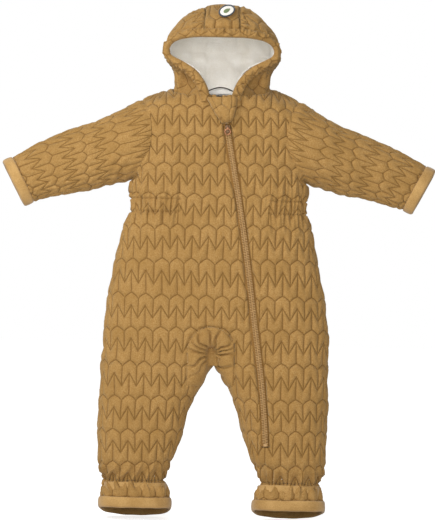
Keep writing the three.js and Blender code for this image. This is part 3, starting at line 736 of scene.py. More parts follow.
print("shaping the trunk")
bodyPoints, bodyPattern, bodyEdge = bodyTable()
bodyNormals = levelAtHip(normalsOf(bodyPoints), bodyPoints[..., 2])
bx, by, bz = np.moveaxis(bodyPoints, 2, 0)
bodyPlace = clothPlace(bodyPattern, bodyPoints)
isFront = by < 0
gathered = np.where(isFront, smooth(-50, -60, bx) + smooth(68, 78, bx), smooth(6, 16, np.abs(bx)))
bodyHeight = quilted(bodyPlace, quilt["columnWidth"], 51.0) * (1 - 0.45 * gathered * bump(bz, 466, 12))
bodyHeight = bodyHeight + waistGather(bodyPattern, bz, gathered)
bodyHeight = withGusset(bodyHeight, bx, bz) + drape(bodyPoints)
# creases that run from the armpits towards the chest
for side in (-1, 1):
    for rise, length, deep in ((0.75, 40, 2.6), (0.3, 46, 2.2), (-0.25, 34, 2.0)):
        run = (side * 130 - bx) * side
        off = bz - (508 + rise * run)
        bodyHeight = bodyHeight - deep * bump(off, 0, 3.4) * np.exp(-np.clip(run, 0, None) / length)
bodyHeight = besideZip(bx, by, bz, bodyHeight, 1.0)
bodySurface = pushed(bodyPoints, bodyNormals, bodyHeight)
gussetMark = gussetReach(bx, bz) - gusset["radius"]

for word in ("right", "left"):
    surface, place, marks = (columnsOf(table, bodyEdge[word])
                             for table in (bodySurface, bodyPlace, gussetMark))
    quiltPiece(f"quilted_front_{word}", surface, place, [f"front_{word}_panel"], "trunk", marks=marks,
               choose=lambda reach: ~np.all(reach < 0, axis=1))
    if word == "right":
        quiltPiece("crotch_gusset_cloth", surface, place, ["crotch_gusset"], "trunk", marks=marks,
                   choose=lambda reach: np.all(reach < 0, axis=1), cloth=plainVelour)
surface, place = (backOf(table, bodyEdge) for table in (bodySurface, bodyPlace))
quiltPiece("quilted_back", surface, place, ["back_panel"], "trunk")

bodyInside = inside(bodyPoints, bodyNormals, 9.5)
for word, flat in (("right", (0.19, 0.41)), ("left", (0.12, 0.41))):
    liningPiece(f"front_{word}_lining_cloth", columnsOf(bodyInside, bodyEdge[word])[::3, ::3],
                [f"front_{word}_lining"], flat, "trunk")
liningPiece("back_lining_cloth", backOf(bodyInside, bodyEdge)[::3, ::3], ["back_lining"], (0.33, 0.42),
            "trunk")

waistRows = (bodyPoints[:, 0, 2] > 459) & (bodyPoints[:, 0, 2] < 473)
waistBand = pushed(bodyPoints, bodyNormals, np.full(bx.shape, -5.6))[waistRows]


def bandStop(x, facing):
    # the waist band's column nearest to x, in front (-1) or behind (1)
    away = waistBand[0, :, 1] * facing < 0
    return int(np.argmin(np.abs(waistBand[0, :, 0] - x) + 999 * away))


rightBand = np.concatenate([waistBand[:, bandStop(-8, 1):], waistBand[:, :bandStop(-57, -1)]], axis=1)
leftBand = waistBand[:, bandStop(70, -1):bandStop(8, 1)]
for word, band in (("right", rightBand), ("left", leftBand)):
    ribbonPiece(f"waist_elastic_{word}_band", band, [f"waist_elastic_{word}"], "trunk")

napeRows = (bodyPoints[:, -90, 2] > 631) & (bodyPoints[:, -90, 2] < 638)
nape = pushed(bodyPoints, bodyNormals, np.full(bx.shape, -11.5))[napeRows][:, bodyEdge["back"][0] + 8:-8]
declare(pieceFrom("neck_seam_tape_woven", nape, loopWeave, wall=0.9), ["neck_seam_tape"], "loop_tape",
        "trunk")


def stitchRow(name, path, outward, pitch, slot, body=None, blend=None):
    # a run of short thread stitches, each a small box lying on the cloth
    length = np.concatenate([[0], np.cumsum(np.linalg.norm(np.diff(path, axis=0), axis=1))])
    shape = bmesh.new()
    for at in np.arange(pitch / 2, length[-1], pitch):
        middle = np.array([np.interp(at, length, path[:, k]) for k in range(3)])
        ahead = np.array([np.interp(at + 0.5, length, path[:, k]) for k in range(3)]) - middle
        up = Vector([np.interp(at, length, outward[:, k]) for k in range(3)])
        frameTurn = Vector(ahead).to_track_quat("X", "Z").to_matrix()
        place = Matrix.Translation(Vector(toRow(middle)) + up.normalized() * 0.0003) @ frameTurn.to_4x4()
        size = Matrix.Diagonal((0.62 * pitch / 1000, 0.0008, 0.0007, 1))
        bmesh.ops.create_cube(shape, size=1.0, matrix=place @ size)
    mesh = bpy.data.meshes.new(name)
    shape.to_mesh(mesh)
    shape.free()
    piece = finishPiece(name, mesh, sewingThread)
    return declare(piece, [], slot, body, blend)


def tubePiece(name, rows, material, capped=False):
    # a closed section carried along a path; capped ends draw in to their middle
    if capped:
        first, last = (np.broadcast_to(row.mean(axis=0), row.shape) for row in (rows[0], rows[-1]))
        rows = np.concatenate([first[None], rows, last[None]])
    return pieceFrom(name, rows, material, close=True)


# legs

binding = {
    # how far past the cloth's edge, and how far out from it: outside, round the edge, up inside
    "profile": [(2.6, 0.4), (1.4, 1.5), (-1.5, 2.0), (-6, 2.2), (-10, 1.9), (-12.2, 1.1), (-13.6, -0.6),
                (-13.2, -2.4), (-11, -3.3), (-4, -3.8), (6, -4.6), (24, -6.4), (24.4, -7.0), (24, -7.6),
                (6, -6.2), (0, -5.4), (1.6, -3.6)],
    "stitchPitch": 3.4,
}


def legSurface(side):
    points, pattern, edge = legTable(side)
    normals = levelAtHip(normalsOf(points), points[..., 2])
    x, y, z = np.moveaxis(points, 2, 0)
    place = clothPlace(pattern, points)
    height = quilted(place, quilt["columnWidth"], 51.0)
    height = withGusset(height, x, z) + drape(points)
    # folds drawn in by the ankle elastic
    fold = pattern + 7 * ripple(31 + side, 60, x, z)
    sharp = 1 - 2 * np.abs(np.sin(math.pi * fold / 19)) ** 0.7
    fine = np.sin(2 * math.pi * fold / 8.2)
    elastic = leg["elasticHeight"]
    under = smooth(20, 46, z) * (z <= elastic)
    over = (1 - smooth(elastic, 96, z)) * (z > elastic)
    folds = (3.2 * sharp + 0.7 * fine) * (0.8 * under + 1.15 * over)
    height = height + folds * (1 - 0.4 * bump(z, elastic, 3))
    height = height - 1.6 * bump(z, elastic, 1.8)
    if side > 0:
        height = besideZip(x, y, z, height, smooth(zipLine["bottomZ"] - 12, zipLine["bottomZ"], z))
        height = height - 1.2 * bump(np.hypot(x - zipX(z), z - zipLine["bottomZ"] + 6), 0, 9) * (y < 0)
    return points, normals, height, place, edge


def bindingPiece(name, edgeLine, normals, away, nodes, body):
    # away points past the cloth's edge
    profile = binding["profile"]
    band = np.array([edgeLine - away * past + normals * out for past, out in profile + profile[:1]])
    band = band + 0.3 * np.stack([ripple(41 + k, 26, *np.moveaxis(band, 2, 0)) for k in range(3)], axis=2)
    piece = pieceFrom(name, band, bindingJersey, close=True)
    return declare(piece, nodes, "jersey_binding", body)


def besideZipFaces(marks):
    # the open slot that the zip lies in
    return np.all(marks[..., 0] > 0, axis=1) & np.all(marks[..., 1] > zipLine["bottomZ"] - 4, axis=1)


def gussetFaces(marks):
    return np.all(marks[..., 2] < 0, axis=1) & np.all(marks[..., 1] > gusset["bottom"], axis=1)


legZip = None
for side, word in ((1, "left"), (-1, "right")):
    print("shaping the", word, "leg")
    points, normals, height, place, edge = legSurface(side)
    surface = pushed(points, normals, height)
    ring = int(np.argmin(np.abs(points[:, 0, 2] - leg["elasticHeight"])))
    blend = ("trunk", f"{word}_leg", toRow((0, 0, 228)), toRow((0, 0, 138)))
    upper, upperPlace = surface[ring:], place[ring:]
    if side > 0:
        legZip = points[:, (edge["slot"][0] + edge["slot"][1]) // 2]
    slot = np.zeros(upper.shape[:2])
    slot[:, edge["slot"][0]:edge["slot"][1] + 1] = side
    x, z = points[ring:, :, 0], points[ring:, :, 2]
    marks = np.stack([slot, z, gussetReach(x, z) - gusset["radius"]], axis=2)
    front, frontPlace, marks = (columnsOf(table, edge["front"]) for table in (upper, upperPlace, marks))
    quiltPiece(f"{word}_leg_quilt", front, frontPlace, [f"{word}_leg_front"], blend=blend, marks=marks,
               choose=lambda marks: ~besideZipFaces(marks) & ~gussetFaces(marks))
    quiltPiece(f"{word}_leg_gusset_cloth", front, frontPlace, [], blend=blend, marks=marks,
               choose=gussetFaces, cloth=plainVelour)
    quiltPiece(f"{word}_leg_back_quilt", backOf(upper, edge), backOf(upperPlace, edge), [f"{word}_leg_back"],
               blend=blend)
    quiltPiece(f"{word}_foot_cuff_quilt", surface[:ring + 1], place[:ring + 1], [f"{word}_foot_cuff"],
               f"{word}_leg", close=True, wall=3.5, fill=0.4)
    liningPiece(f"{word}_leg_lining_cloth", inside(points, normals, 8.8)[ring - 8::3, ::3],
                [f"{word}_leg_lining"], (0.34, 0.19), blend=blend, close=True)
    flatNormals = normals[0] * (1, 1, 0)
    flatNormals /= np.linalg.norm(flatNormals, axis=1, keepdims=True)
    bindingPiece(f"{word}_ankle_binding_jersey", points[0], flatNormals, np.array([0, 0, -1.0]),
                 [f"{word}_ankle_binding"], f"{word}_leg")
    bandRows = (points[:, 0, 2] > 47) & (points[:, 0, 2] < 57)
    ribbonPiece(f"{word}_ankle_elastic_band", pushed(points, normals, np.full(height.shape, -6.0))[bandRows],
                [f"{word}_ankle_elastic"], f"{word}_leg", close=True)
    stitches = np.concatenate([surface[2], surface[2, :1]])
    stitchRow(f"{word}_ankle_stitches", stitches, np.concatenate([normals[2], normals[2, :1]]),
              binding["stitchPitch"], "jersey_binding", f"{word}_leg")


# sleeves

for side, word in ((1, "left"), (-1, "right")):
    print("shaping the", word, "sleeve")
    points, pattern, out = sleeveTable(side)
    normals = normalsOf(points)
    if np.sum(normals * (points - points.mean(axis=1, keepdims=True))) < 0:
        normals = -normals
    x, y, z = np.moveaxis(points, 2, 0)
    u = (pattern + 1.2 * ripple(51, 70, x, y, z)) / quilt["sleeveColumn"]
    v = (out + 0.22 * pattern + 2.0 * ripple(52, 80, x, y, z)) / quilt["sleeveRow"] + 0.35
    place = np.stack([u, v], axis=2)
    height = quilted(place, quilt["sleeveColumn"], quilt["sleeveRow"]) + drape(points)
    # folds at the armpit and the set-in seam, and small gathers at the wrist
    armpit = bump(np.hypot(x - side * 148, z - 505), 0, 30)
    height = height + 1.3 * armpit * np.sin(2 * math.pi * (x * side * 0.9 + z * 0.5) / 15)
    height = height - 2.6 * bump(out, 0, 5) + 1.0 * bump(out, 9, 5)
    height = height - 1.2 * bump(out, 193, 3) + 0.5 * bump(out, 186, 8) * np.sin(2 * math.pi * pattern / 7.5)
    surface = pushed(points, normals, height)
    joint, end = (side * 126, 0, 566), (side * (126 + 78 * 0.94), 0, 566 - 78 * 0.342)
    blend = ("trunk", f"{word}_arm", toRow(joint), toRow(end))
    away = np.array([side * 0.91, 0, -0.41])
    tables = [surface, place, points, normals]
    if side < 0:
        tables = [table[:, ::-1] for table in tables]
    surface, place, points, normals = tables
    quiltPiece(f"{word}_sleeve_quilt", surface, place, [f"{word}_sleeve", f"{word}_sleeve_head"], blend=blend,
               close=True)
    liningPiece(f"{word}_sleeve_lining_cloth", inside(points, normals, 8.4)[::3, ::3],
                [f"{word}_sleeve_lining"], (0.22, 0.19), blend=blend, close=True)
    bindingPiece(f"{word}_wrist_binding_jersey", points[-1], normals[-1], away, [f"{word}_wrist_binding"],
                 f"{word}_arm")
    bandRows = slice(len(points) - 12, len(points) - 5)
    ribbonPiece(f"{word}_wrist_elastic_band", pushed(points, normals, np.full(height.shape, -5.6))[bandRows],
                [f"{word}_wrist_elastic"], f"{word}_arm", close=True)
    stitches = np.concatenate([surface[-3], surface[-3, :1]])
    stitchRow(f"{word}_wrist_stitches", stitches, np.concatenate([normals[-3], normals[-3, :1]]),
              binding["stitchPitch"], "jersey_binding", f"{word}_arm")


# hood

def hoodField(points):
    # zero on the hood's surface, negative inside it
    half, front, back, power = (curveThrough(hood["rings"], points[:, 2], k) for k in (1, 2, 3, 4))
    ahead = points[:, 1] < 0
    shape = np.where(ahead, power, 2.2)
    return (np.abs(points[:, 0] / half) ** shape
            + np.abs(points[:, 1] / np.where(ahead, front, back)) ** shape - 1)


def hoodNormals(points):
    step = 0.1
    slope = [hoodField(points + step * axis) - hoodField(points - step * axis) for axis in np.eye(3)]
    slope = np.stack(slope, axis=1) / (2 * step)
    size = np.linalg.norm(slope, axis=1, keepdims=True)
    return slope / size, size[:, 0]


def ontoHood(points):
    for _ in range(5):
        normals, size = hoodNormals(points)
        points = points - normals * np.clip(hoodField(points) / size, -4, 4)[:, None]
    return points


def hoodFront(x, z):
    half, front, _, power = (curveThrough(hood["rings"], z, k) for k in (1, 2, 3, 4))
    return -front * np.clip(1 - np.abs(x / half) ** power, 0.001, 1) ** (1 / power)


def evenly(path, count):
    length = np.concatenate([[0], np.cumsum(np.linalg.norm(np.diff(path, axis=0), axis=1))])
    at = np.linspace(0, length[-1], count)
    return np.stack([np.interp(at, length, path[:, k]) for k in range(path.shape[1])], axis=1)


def faceEdgePath(count=460):
    right = np.array(hood["faceOpening"][2:], float)
    both = np.concatenate([right, right[-2::-1] * (-1, 1)])
    chord = np.concatenate([[0], np.cumsum(np.linalg.norm(np.diff(both, axis=0), axis=1) ** 0.7)])
    stops = [(t, *point) for t, point in zip(chord, both)]
    at = np.linspace(0, chord[-1], 3000)
    path = evenly(np.stack([curveThrough(stops, at, 1), curveThrough(stops, at, 2)], axis=1), count)
    return ontoHood(np.stack([path[:, 0], hoodFront(path[:, 0], path[:, 1]), path[:, 1]], axis=1))


faceEdge = faceEdgePath()


def faceReach(table):
    # how far each point lies outside the face opening, negative within it, and its place along the edge
    flat = table.reshape(-1, 3)
    gap, place = np.empty(len(flat)), np.empty(len(flat))
    for start in range(0, len(flat), 4000):
        away = np.linalg.norm(flat[start:start + 4000, None] - faceEdge[None], axis=2)
        gap[start:start + 4000] = away.min(axis=1)
        place[start:start + 4000] = away.argmin(axis=1)
    px, pz = faceEdge[:, 0], faceEdge[:, 2]
    nextX, nextZ = np.roll(px, -1), np.roll(pz, -1)
    crossing = (pz[None] > flat[:, 2:]) != (nextZ[None] > flat[:, 2:])
    rise = np.where(np.abs(nextZ - pz) < 1e-9, 1e-9, nextZ - pz)
    left = flat[:, :1] < (nextX - px) * (flat[:, 2:] - pz) / rise + px
    within = (np.sum(crossing & left, axis=1) % 2 == 1) & (flat[:, 1] < 0)
    return np.where(within, -gap, gap).reshape(table.shape[:2]), place.reshape(table.shape[:2])


print("shaping the hood")
hoodPoints = hoodTable()
hoodPoints = hoodPoints[hoodPoints[:, 0, 2] > 618]
hoodPoints[-1] = hoodPoints[-1].mean(axis=0)
hoodOut = normalsOf(hoodPoints)
hoodOut[-1] = (0, 0, 1)
seamNear = np.abs(np.abs(hoodPoints[..., 0]) - hood["stripHalf"]) < 1.0
hoodPoints[..., 0] = np.where(seamNear, np.sign(hoodPoints[..., 0]) * hood["stripHalf"], hoodPoints[..., 0])
hx, hy, hz = np.moveaxis(hoodPoints, 2, 0)
hoodReach, hoodAlong = faceReach(hoodPoints)
ringStep = np.linalg.norm(np.roll(hoodPoints, -1, axis=1) - hoodPoints, axis=2)
ringPlace = np.cumsum(ringStep, axis=1) - ringStep
ringPlace = np.minimum(ringPlace, ringPlace[:, -1:] - ringPlace)
onSide = smooth(hood["stripHalf"] - 1, hood["stripHalf"] + 1, np.abs(hx)) * smooth(664, 690, hz)
rowHeight = 51.0
middleU = np.sign(hx) * ringPlace / quilt["columnWidth"] + 0.35
hoodU = mix(middleU, (0.55 * ringPlace + 0.84 * hz) / 20.5, onSide)
hoodV = mix(hz / rowHeight + 0.4, (0.84 * ringPlace - 0.55 * hz) / rowHeight, onSide)
hoodPlace = np.stack([hoodU, hoodV], axis=2)
hoodHeight = 0.9 * quilted(hoodPlace, quilt["columnWidth"], 51.0) + 1.3 * drape(hoodPoints)
stripSeam = bump(np.abs(np.abs(hx) - hood["stripHalf"]), 0, 1.7) * smooth(654, 668, hz)
hoodHeight = hoodHeight - 2.4 * stripSeam + 1.0 * bump(np.abs(np.abs(hx) - hood["stripHalf"]), 5, 2.6)
# gathers drawn up by the elastic in the brim, and pleats fanning from the centre seams
alongEdge = hoodAlong * np.sum(np.linalg.norm(np.diff(faceEdge, axis=0), axis=1)) / len(faceEdge)
gather = 1 - 2 * np.abs(np.sin(math.pi * (alongEdge + 3 * ripple(71, 40, hx, hz)) / 10.5)) ** 0.6
hoodHeight = hoodHeight - 2.6 * bump(hoodReach, 14.5, 2.6)
hoodHeight = hoodHeight + 1.2 * gather * bump(hoodReach, 13, 17) * (hy < 20)
fan = 1 - 2 * np.abs(np.sin(math.pi * (hz - 0.35 * np.abs(hx) + 4 * ripple(72, 50, hx, hz)) / 8.5)) ** 0.7
sideFade = bump(np.abs(hx) - hood["stripHalf"], 4, 17) * smooth(700, 715, hz) * (hy < 30) * (np.abs(hx) > 27)
hoodHeight = hoodHeight + 0.9 * fan * sideFade
fadeTop = 1 - smooth(768, 771, hz)
hoodSurface = pushed(hoodPoints, hoodOut, hoodHeight * fadeTop)
hoodMarks = np.stack([np.abs(hx), hx, hoodReach, hz, hy], axis=2)
hoodBlend = ("trunk", "hood", toRow((0, 0, 634)), toRow((0, 0, 716)))
cutBack = 9.0


def inStrip(marks):
    return np.all(marks[..., 0] <= hood["stripHalf"] + 0.01, axis=1) & np.all(marks[..., 3] > 654, axis=1)


def clearOfFace(marks, past):
    ahead, middle = np.all(marks[..., 4] < 0, axis=1), np.all(marks[..., 0] < 15, axis=1)
    inOpening = ahead & middle & np.any(marks[..., 3] < 716, axis=1)
    return np.all(marks[..., 2] > past, axis=1) & ~inOpening


quiltPiece("hood_centre_quilt", hoodSurface, hoodPlace, ["hood_centre"], blend=hoodBlend, close=True,
           marks=hoodMarks, choose=lambda marks: inStrip(marks) & clearOfFace(marks, cutBack))
for sign, word in ((-1, "right"), (1, "left")):
    quiltPiece(f"hood_{word}_side_quilt", hoodSurface, hoodPlace,
               [f"hood_{word}_side"] + (["hood_root"] if sign < 0 else []), blend=hoodBlend, close=True,
               marks=hoodMarks, choose=lambda marks: ~inStrip(marks) & clearOfFace(marks, cutBack)
               & (marks[..., 1].mean(axis=1) * sign > 0))

liningInset = mix(3.6, 10.2, smooth(2, 26, hoodReach))
hoodLiningRows = inside(hoodPoints, hoodOut, liningInset + 2.5 * smooth(8, 30, hoodReach), 25)
liningSeam = bump(np.abs(np.abs(hx) - hood["stripHalf"] + 3), 0, 1.6) * (hz > 645)
liningFold = 1.6 * ripple(27, 36, hx, hz) * smooth(0, 40, hy)
hoodLiningRows = pushed(hoodLiningRows, hoodOut, 2.0 * liningSeam + liningFold)
hoodLiningRows[-1] = hoodLiningRows[-1].mean(axis=0) - (0, 0, 9)
liningPiece("hood_lining_cloth", hoodLiningRows[:, ::2], ["hood_lining"], (0.42, 0.16), blend=hoodBlend,
            close=True, marks=hoodMarks[:, ::2], choose=lambda marks: clearOfFace(marks, 3.0))

brim = {"top": 13.5, "side": 11.5, "throat": 15.0, "puff": 7.0, "steps": 14, "gatherPitch": 7.0}


def brimTable():
    # walk outwards over the hood from the face edge, then lay a padded section on that strip
    tangent = np.gradient(faceEdge, axis=0)
    normals, _ = hoodNormals(faceEdge)
    outward = np.cross(normals, tangent)
    outward /= np.linalg.norm(outward, axis=1, keepdims=True)
    centre = np.array([0, -55, 690.0])
    outward *= np.sign(np.sum(outward * (faceEdge - centre), axis=1))[:, None]
    z, x = faceEdge[:, 2], np.abs(faceEdge[:, 0])
    width = np.where(z > 700, mix(brim["side"], brim["top"], smooth(80, 50, x)),
                     mix(brim["side"], brim["throat"], smooth(80, 45, x)))
    strip, out = [faceEdge], [normals]
    step = width[:, None] / brim["steps"]
    for _ in range(brim["steps"]):
        moved = ontoHood(strip[-1] + outward * step)
        normals, _ = hoodNormals(moved)
        outward = outward - normals * np.sum(outward * normals, axis=1, keepdims=True)
        outward /= np.linalg.norm(outward, axis=1, keepdims=True)
        strip.append(moved)
        out.append(normals)
    return np.array(strip), np.array(out)


brimStrip, brimOut = brimTable()
edgeLength = np.concatenate([[0], np.cumsum(np.linalg.norm(np.diff(faceEdge, axis=0), axis=1))])
shares = np.linspace(0, 1, brim["steps"] + 1)
wander = ripple(81, 45, edgeLength)
brimRows, brimPlace = [], []
for k, share in list(enumerate(shares)) + list(enumerate(shares))[-2:0:-1]:
    under = len(brimRows) > brim["steps"]
    swell = max(1 - abs(2 * share - 1) ** 3.2, 0) ** 0.5
    along = (edgeLength + 3.5 * wander + 2 * share) / brim["gatherPitch"]
    pinch = 1 - 2 * np.abs(np.sin(math.pi * along)) ** 0.5
    dents = 1.4 * ripple(82, 12, edgeLength, 15 * share + 0 * edgeLength)
    high = -1.0 + brim["puff"] * swell + (2.7 * pinch * share ** 1.5 + dents) * swell
    low = np.full(len(edgeLength), -1.0 - 2.6 * swell)
    brimRows.append(brimStrip[k] + brimOut[k] * (low if under else high)[:, None])
    row = np.full(len(edgeLength), 0.95 + 0.3 * share)
    brimPlace.append(np.stack([edgeLength / quilt["columnWidth"], row], axis=1))
brimRows = np.array(brimRows).transpose(1, 0, 2)
first, last = (np.broadcast_to(row.mean(axis=0), row.shape) for row in (brimRows[0], brimRows[-1]))
brimRows = np.concatenate([first[None], brimRows, last[None]])
brimPlace = np.array(brimPlace).transpose(1, 0, 2)
brimPlace = np.concatenate([brimPlace[:1], brimPlace, brimPlace[-1:]])
brimPiece = pieceFrom("hood_brim_band", brimRows, quiltedVelour, uv=brimPlace, close=True)
declare(brimPiece, ["hood_brim"], "velour", blend=hoodBlend)
above = np.nonzero(faceEdge[:, 2] > 697)[0]
elasticRows = (brimStrip + brimOut * 0.4)[4:11, above]
ribbonPiece("hood_brim_elastic_band", elasticRows, ["hood_brim_elastic"], blend=hoodBlend, thick=1.0)


# the zip

zipMake = {
    "tapeHalf": 8.6, "tapeSink": 2.4, "gap": 0.25, "pitch": 2.5,
    "toothReach": 4.1, "toothThick": 1.45, "toothHigh": 1.9, "splitZ": hipHeight,
}


def zipPath(top):
    # the middle of the zip on the cloth, from the top down
    slot = (bodyEdge["slot"][0] + bodyEdge["slot"][1]) // 2
    line = np.concatenate([bodyPoints[::-1, slot], legZip[::-1][1:]])
    line = line[(line[:, 2] < top) & (line[:, 2] > zipLine["bottomZ"] - 3)]
    line[:, 0] = zipX(line[:, 2])
    return line


def box(shape, centre, size, turn):
    place = Matrix.Translation(Vector(toRow(centre))) @ turn.to_4x4()
    stretch = Matrix.Diagonal((*[s / 1000 for s in size], 1))
    return bmesh.ops.create_cube(shape, size=1.0, matrix=place @ stretch)


def softened(shape, name, material, width, segments=1):
    bmesh.ops.bevel(shape, geom=shape.edges[:], offset=width / 1000, segments=segments, affect="EDGES",
                    profile=0.5, material=-1)
    mesh = bpy.data.meshes.new(name)
    shape.to_mesh(mesh)
    shape.free()
    return finishPiece(name, mesh, material)


print("sewing in the zip")
zipCentre = zipPath(zipLine["topZ"])
tapeCentre = zipPath(zipLine["topZ"] + 26)      # the tapes run on up behind the chin guard
zipBlend = ("trunk", "left_leg", toRow((0, 0, 228)), toRow((0, 0, 138)))
across = np.array([0.0, 0.6, 2.5, 4.6, 6.4, zipMake["tapeHalf"]])
for sign, word in ((-1, "right"), (1, "left")):
    sink = zipMake["tapeSink"] + 0.05 * across ** 1.6
    strip = np.stack([tapeCentre + np.array([sign * (zipMake["gap"] + offset), depth, 0])
                      for offset, depth in zip(across, sink)], axis=1)
    strip[..., 1] += 0.15 * ripple(91, 30, strip[..., 2])
    low = strip[..., 2] < zipMake["splitZ"]
    cut = int(np.argmax(low[:, 0]))
    for part, rows, nodes, ride in (("upper", strip[:cut + 1], [f"zip_tape_{word}"], ("trunk", None)),
                                    ("lower", strip[cut:], [f"zip_tape_{word}_leg"], (None, zipBlend))):
        rows = rows[:, ::-1] if sign > 0 else rows
        piece = pieceFrom(f"zip_tape_{word}_{part}", rows, zipTapeWeave, wall=0.7)
        declare(piece, nodes, "zip_cloth", *ride)

length = np.concatenate([[0], np.cumsum(np.linalg.norm(np.diff(zipCentre, axis=0), axis=1))])
toothStops = np.arange(8.0, length[-1] - 4, zipMake["pitch"])
for sign, word in ((-1, "right"), (1, "left")):
    shapes = {"upper": bmesh.new(), "lower": bmesh.new()}
    for stop in toothStops + (0.5 * zipMake["pitch"] if sign > 0 else 0):
        middle = np.array([np.interp(stop, length, zipCentre[:, k]) for k in range(3)])
        below = np.array([np.interp(stop + 1, length, zipCentre[:, k]) for k in range(3)])
        up = Vector(middle - below).normalized()
        inwards = up.cross(Vector((1, 0, 0))).normalized()
        turn = Matrix((inwards.cross(up), inwards, up)).transposed()
        shape = shapes["lower" if middle[2] < zipMake["splitZ"] else "upper"]
        sideways = np.array(turn @ Vector((sign, 0, 0)))
        front = np.array([0, zipMake["tapeSink"] - 1.3, 0])
        high, thick = zipMake["toothHigh"], zipMake["toothThick"]
        box(shape, middle + front + sideways * 2.5, (zipMake["toothReach"] - 0.9, high, thick), turn)
        box(shape, middle + front + sideways * 0.25, (2.2, 0.8 * high, 0.85 * thick), turn)
    for part, nodes, ride in (("upper", [f"zip_teeth_{word}"], ("trunk", None)),
                              ("lower", [f"zip_teeth_{word}_leg"], (None, zipBlend))):
        piece = softened(shapes[part], f"zip_teeth_{word}_{part}", zipNylon, 0.3)
        declare(piece, nodes, "zip_plastic", *ride)

level = Matrix.Identity(3)
for sign, word in ((-1, "right"), (1, "left")):
    shape = bmesh.new()
    box(shape, zipCentre[0] + np.array([sign * 1.7, 1.0, 0.6]), (2.6, 2.4, 2.0), level)
    declare(softened(shape, f"zip_top_stop_{word}_clip", zipNylon, 0.5, 2), [f"zip_top_stop_{word}"],
            "zip_plastic", "trunk")
shape = bmesh.new()
box(shape, zipCentre[-1] + np.array([0, 0.9, 2.0]), (6.6, 2.6, 4.0), level)
declare(softened(shape, "zip_bottom_stop_clip", zipNylon, 0.7, 2), ["zip_bottom_stop"], "zip_plastic",
        "left_leg")

underRows = np.stack([zipCentre[::3] + np.array([offset, 9.0 + 0.4 * math.cos(offset / 3), 0])
                      for offset in np.linspace(-12, 13, 11)], axis=1)
cut = int(np.argmax(underRows[:, 0, 2] < zipMake["splitZ"]))
for part, rows, node, ride in (("upper", underRows[:cut + 1], "zip_underlap", ("trunk", None)),
                               ("lower", underRows[cut:], "zip_underlap_leg", (None, zipBlend))):
    piece = pieceFrom(f"zip_underlap_{part}_cloth", rows, brushedLining, wall=1.4)
    declare(piece, [node], "lining_cotton", *ride)


def sliderPiece():
    # a zinc body with a waist, two wings and a bridge for the pull
    low, high = (toSuit(corner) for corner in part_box("zip_slider"))
    middle, size = (low + high) / 2, high - low
    shape = bmesh.new()
    middle = middle + (-1.8, 0.4, 0)
    box(shape, middle + (0, 0.6, -1.0), (size[0] - 3.2, 2.6, size[2] - 3.0), level)
    box(shape, middle + (0, 0.6, 3.2), (size[0] - 1.2, 2.4, 5.6), level)
    box(shape, middle + (0, -1.3, 1.4), (2.2, 2.0, 7.4), level)
    return softened(shape, "zip_slider_body", zipLacquer, 0.7, 3)


def pullPiece():
    # a round ring pull with a short neck at the top
    low, high = (toSuit(corner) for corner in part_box("zip_pull"))
    middle = (low + high) / 2
    radius, thick = 4.1, 1.15
    centre = np.array([middle[0] - 3.0, middle[1] - 1.6, high[2] - radius - thick - 0.6])
    shape = bmesh.new()
    start = Matrix.Translation(Vector(toRow(centre + (radius, 0, 0))))
    bmesh.ops.create_circle(shape, segments=14, radius=thick / 1000, matrix=start)
    bmesh.ops.spin(shape, geom=shape.edges[:], cent=Vector(toRow(centre)), axis=(0, 1, 0),
                   angle=2 * math.pi, steps=40, use_merge=True)
    bmesh.ops.recalc_face_normals(shape, faces=shape.faces[:])
    neck = bmesh.new()
    box(neck, (centre[0], centre[1] + 0.1, (centre[2] + radius + high[2]) / 2),
        (3.2, 1.6, high[2] - centre[2] - radius + 1.6), level)
    bmesh.ops.bevel(neck, geom=neck.edges[:], offset=0.0005, segments=3, affect="EDGES", profile=0.5,
                    material=-1)
    mesh = bpy.data.meshes.new("zip_pull_ring")
    neck.to_mesh(mesh)
    neck.free()
    shape.from_mesh(mesh)
    shape.to_mesh(mesh)
    shape.free()
    return finishPiece("zip_pull_ring", mesh, pullCopper)


declare(sliderPiece(), ["zip_slider"], "zip_metal", "slider")
declare(pullPiece(), ["zip_pull"], "zip_metal", "pull")


# chin guard, badge and loop

chin = {
    # share down, left edge x and z, right edge x and z
    "edges": [(0, -19, 628, 23, 629), (0.3, -12.5, 616, 22.5, 618), (0.6, -5.5, 604, 20.5, 608),
              (0.85, 0.5, 596, 18.5, 600.5), (1, 4, 591, 14.5, 593)],
    "lift": 11.0, "thick": 6.5,
}


def bodyFront(x, z):
    half, depth = (curveThrough(body["rings"], z, k) for k in (1, 2))
    power = mix(body["frontSquareness"], 2.5, smooth(600, 640, z))
    return -depth * (1 - np.clip(np.abs(x / half), 0, 1) ** power) ** (1 / power)


down, aside = np.meshgrid(np.linspace(0, 1, 30), np.linspace(0, 1, 34), indexing="ij")
leftX, leftZ, rightX, rightZ = (curveThrough(chin["edges"], down, k) for k in (1, 2, 3, 4))
cx, cz = mix(leftX, rightX, aside), mix(leftZ, rightZ, aside)
gap = np.minimum(np.minimum(aside, 1 - aside) * np.abs(rightX - leftX), (1 - down) * 40)
fromLeft = aside * np.abs(rightX - leftX)
chinPlace = np.stack([(cx - 2) / quilt["columnWidth"], -cz / 51.0 + 0.1], axis=2)
chinHeight = quilted(chinPlace, quilt["columnWidth"], 51.0) - 2.6 * bump(fromLeft, 5.0, 0.9)
chinHeight = chinHeight - 2.6 * bump(np.abs(rightX - leftX) - fromLeft, 6.0, 0.9) * smooth(0.75, 0.5, down)
cy = bodyFront(cx, cz) - chin["lift"] + 1.2 * down
swell = chin["thick"] * (1 - np.exp(-gap / 1.6)) + 0.8 * chinHeight * (gap > 1)
chinRows = np.stack([cx, cy - swell + chin["thick"], cz], axis=2)
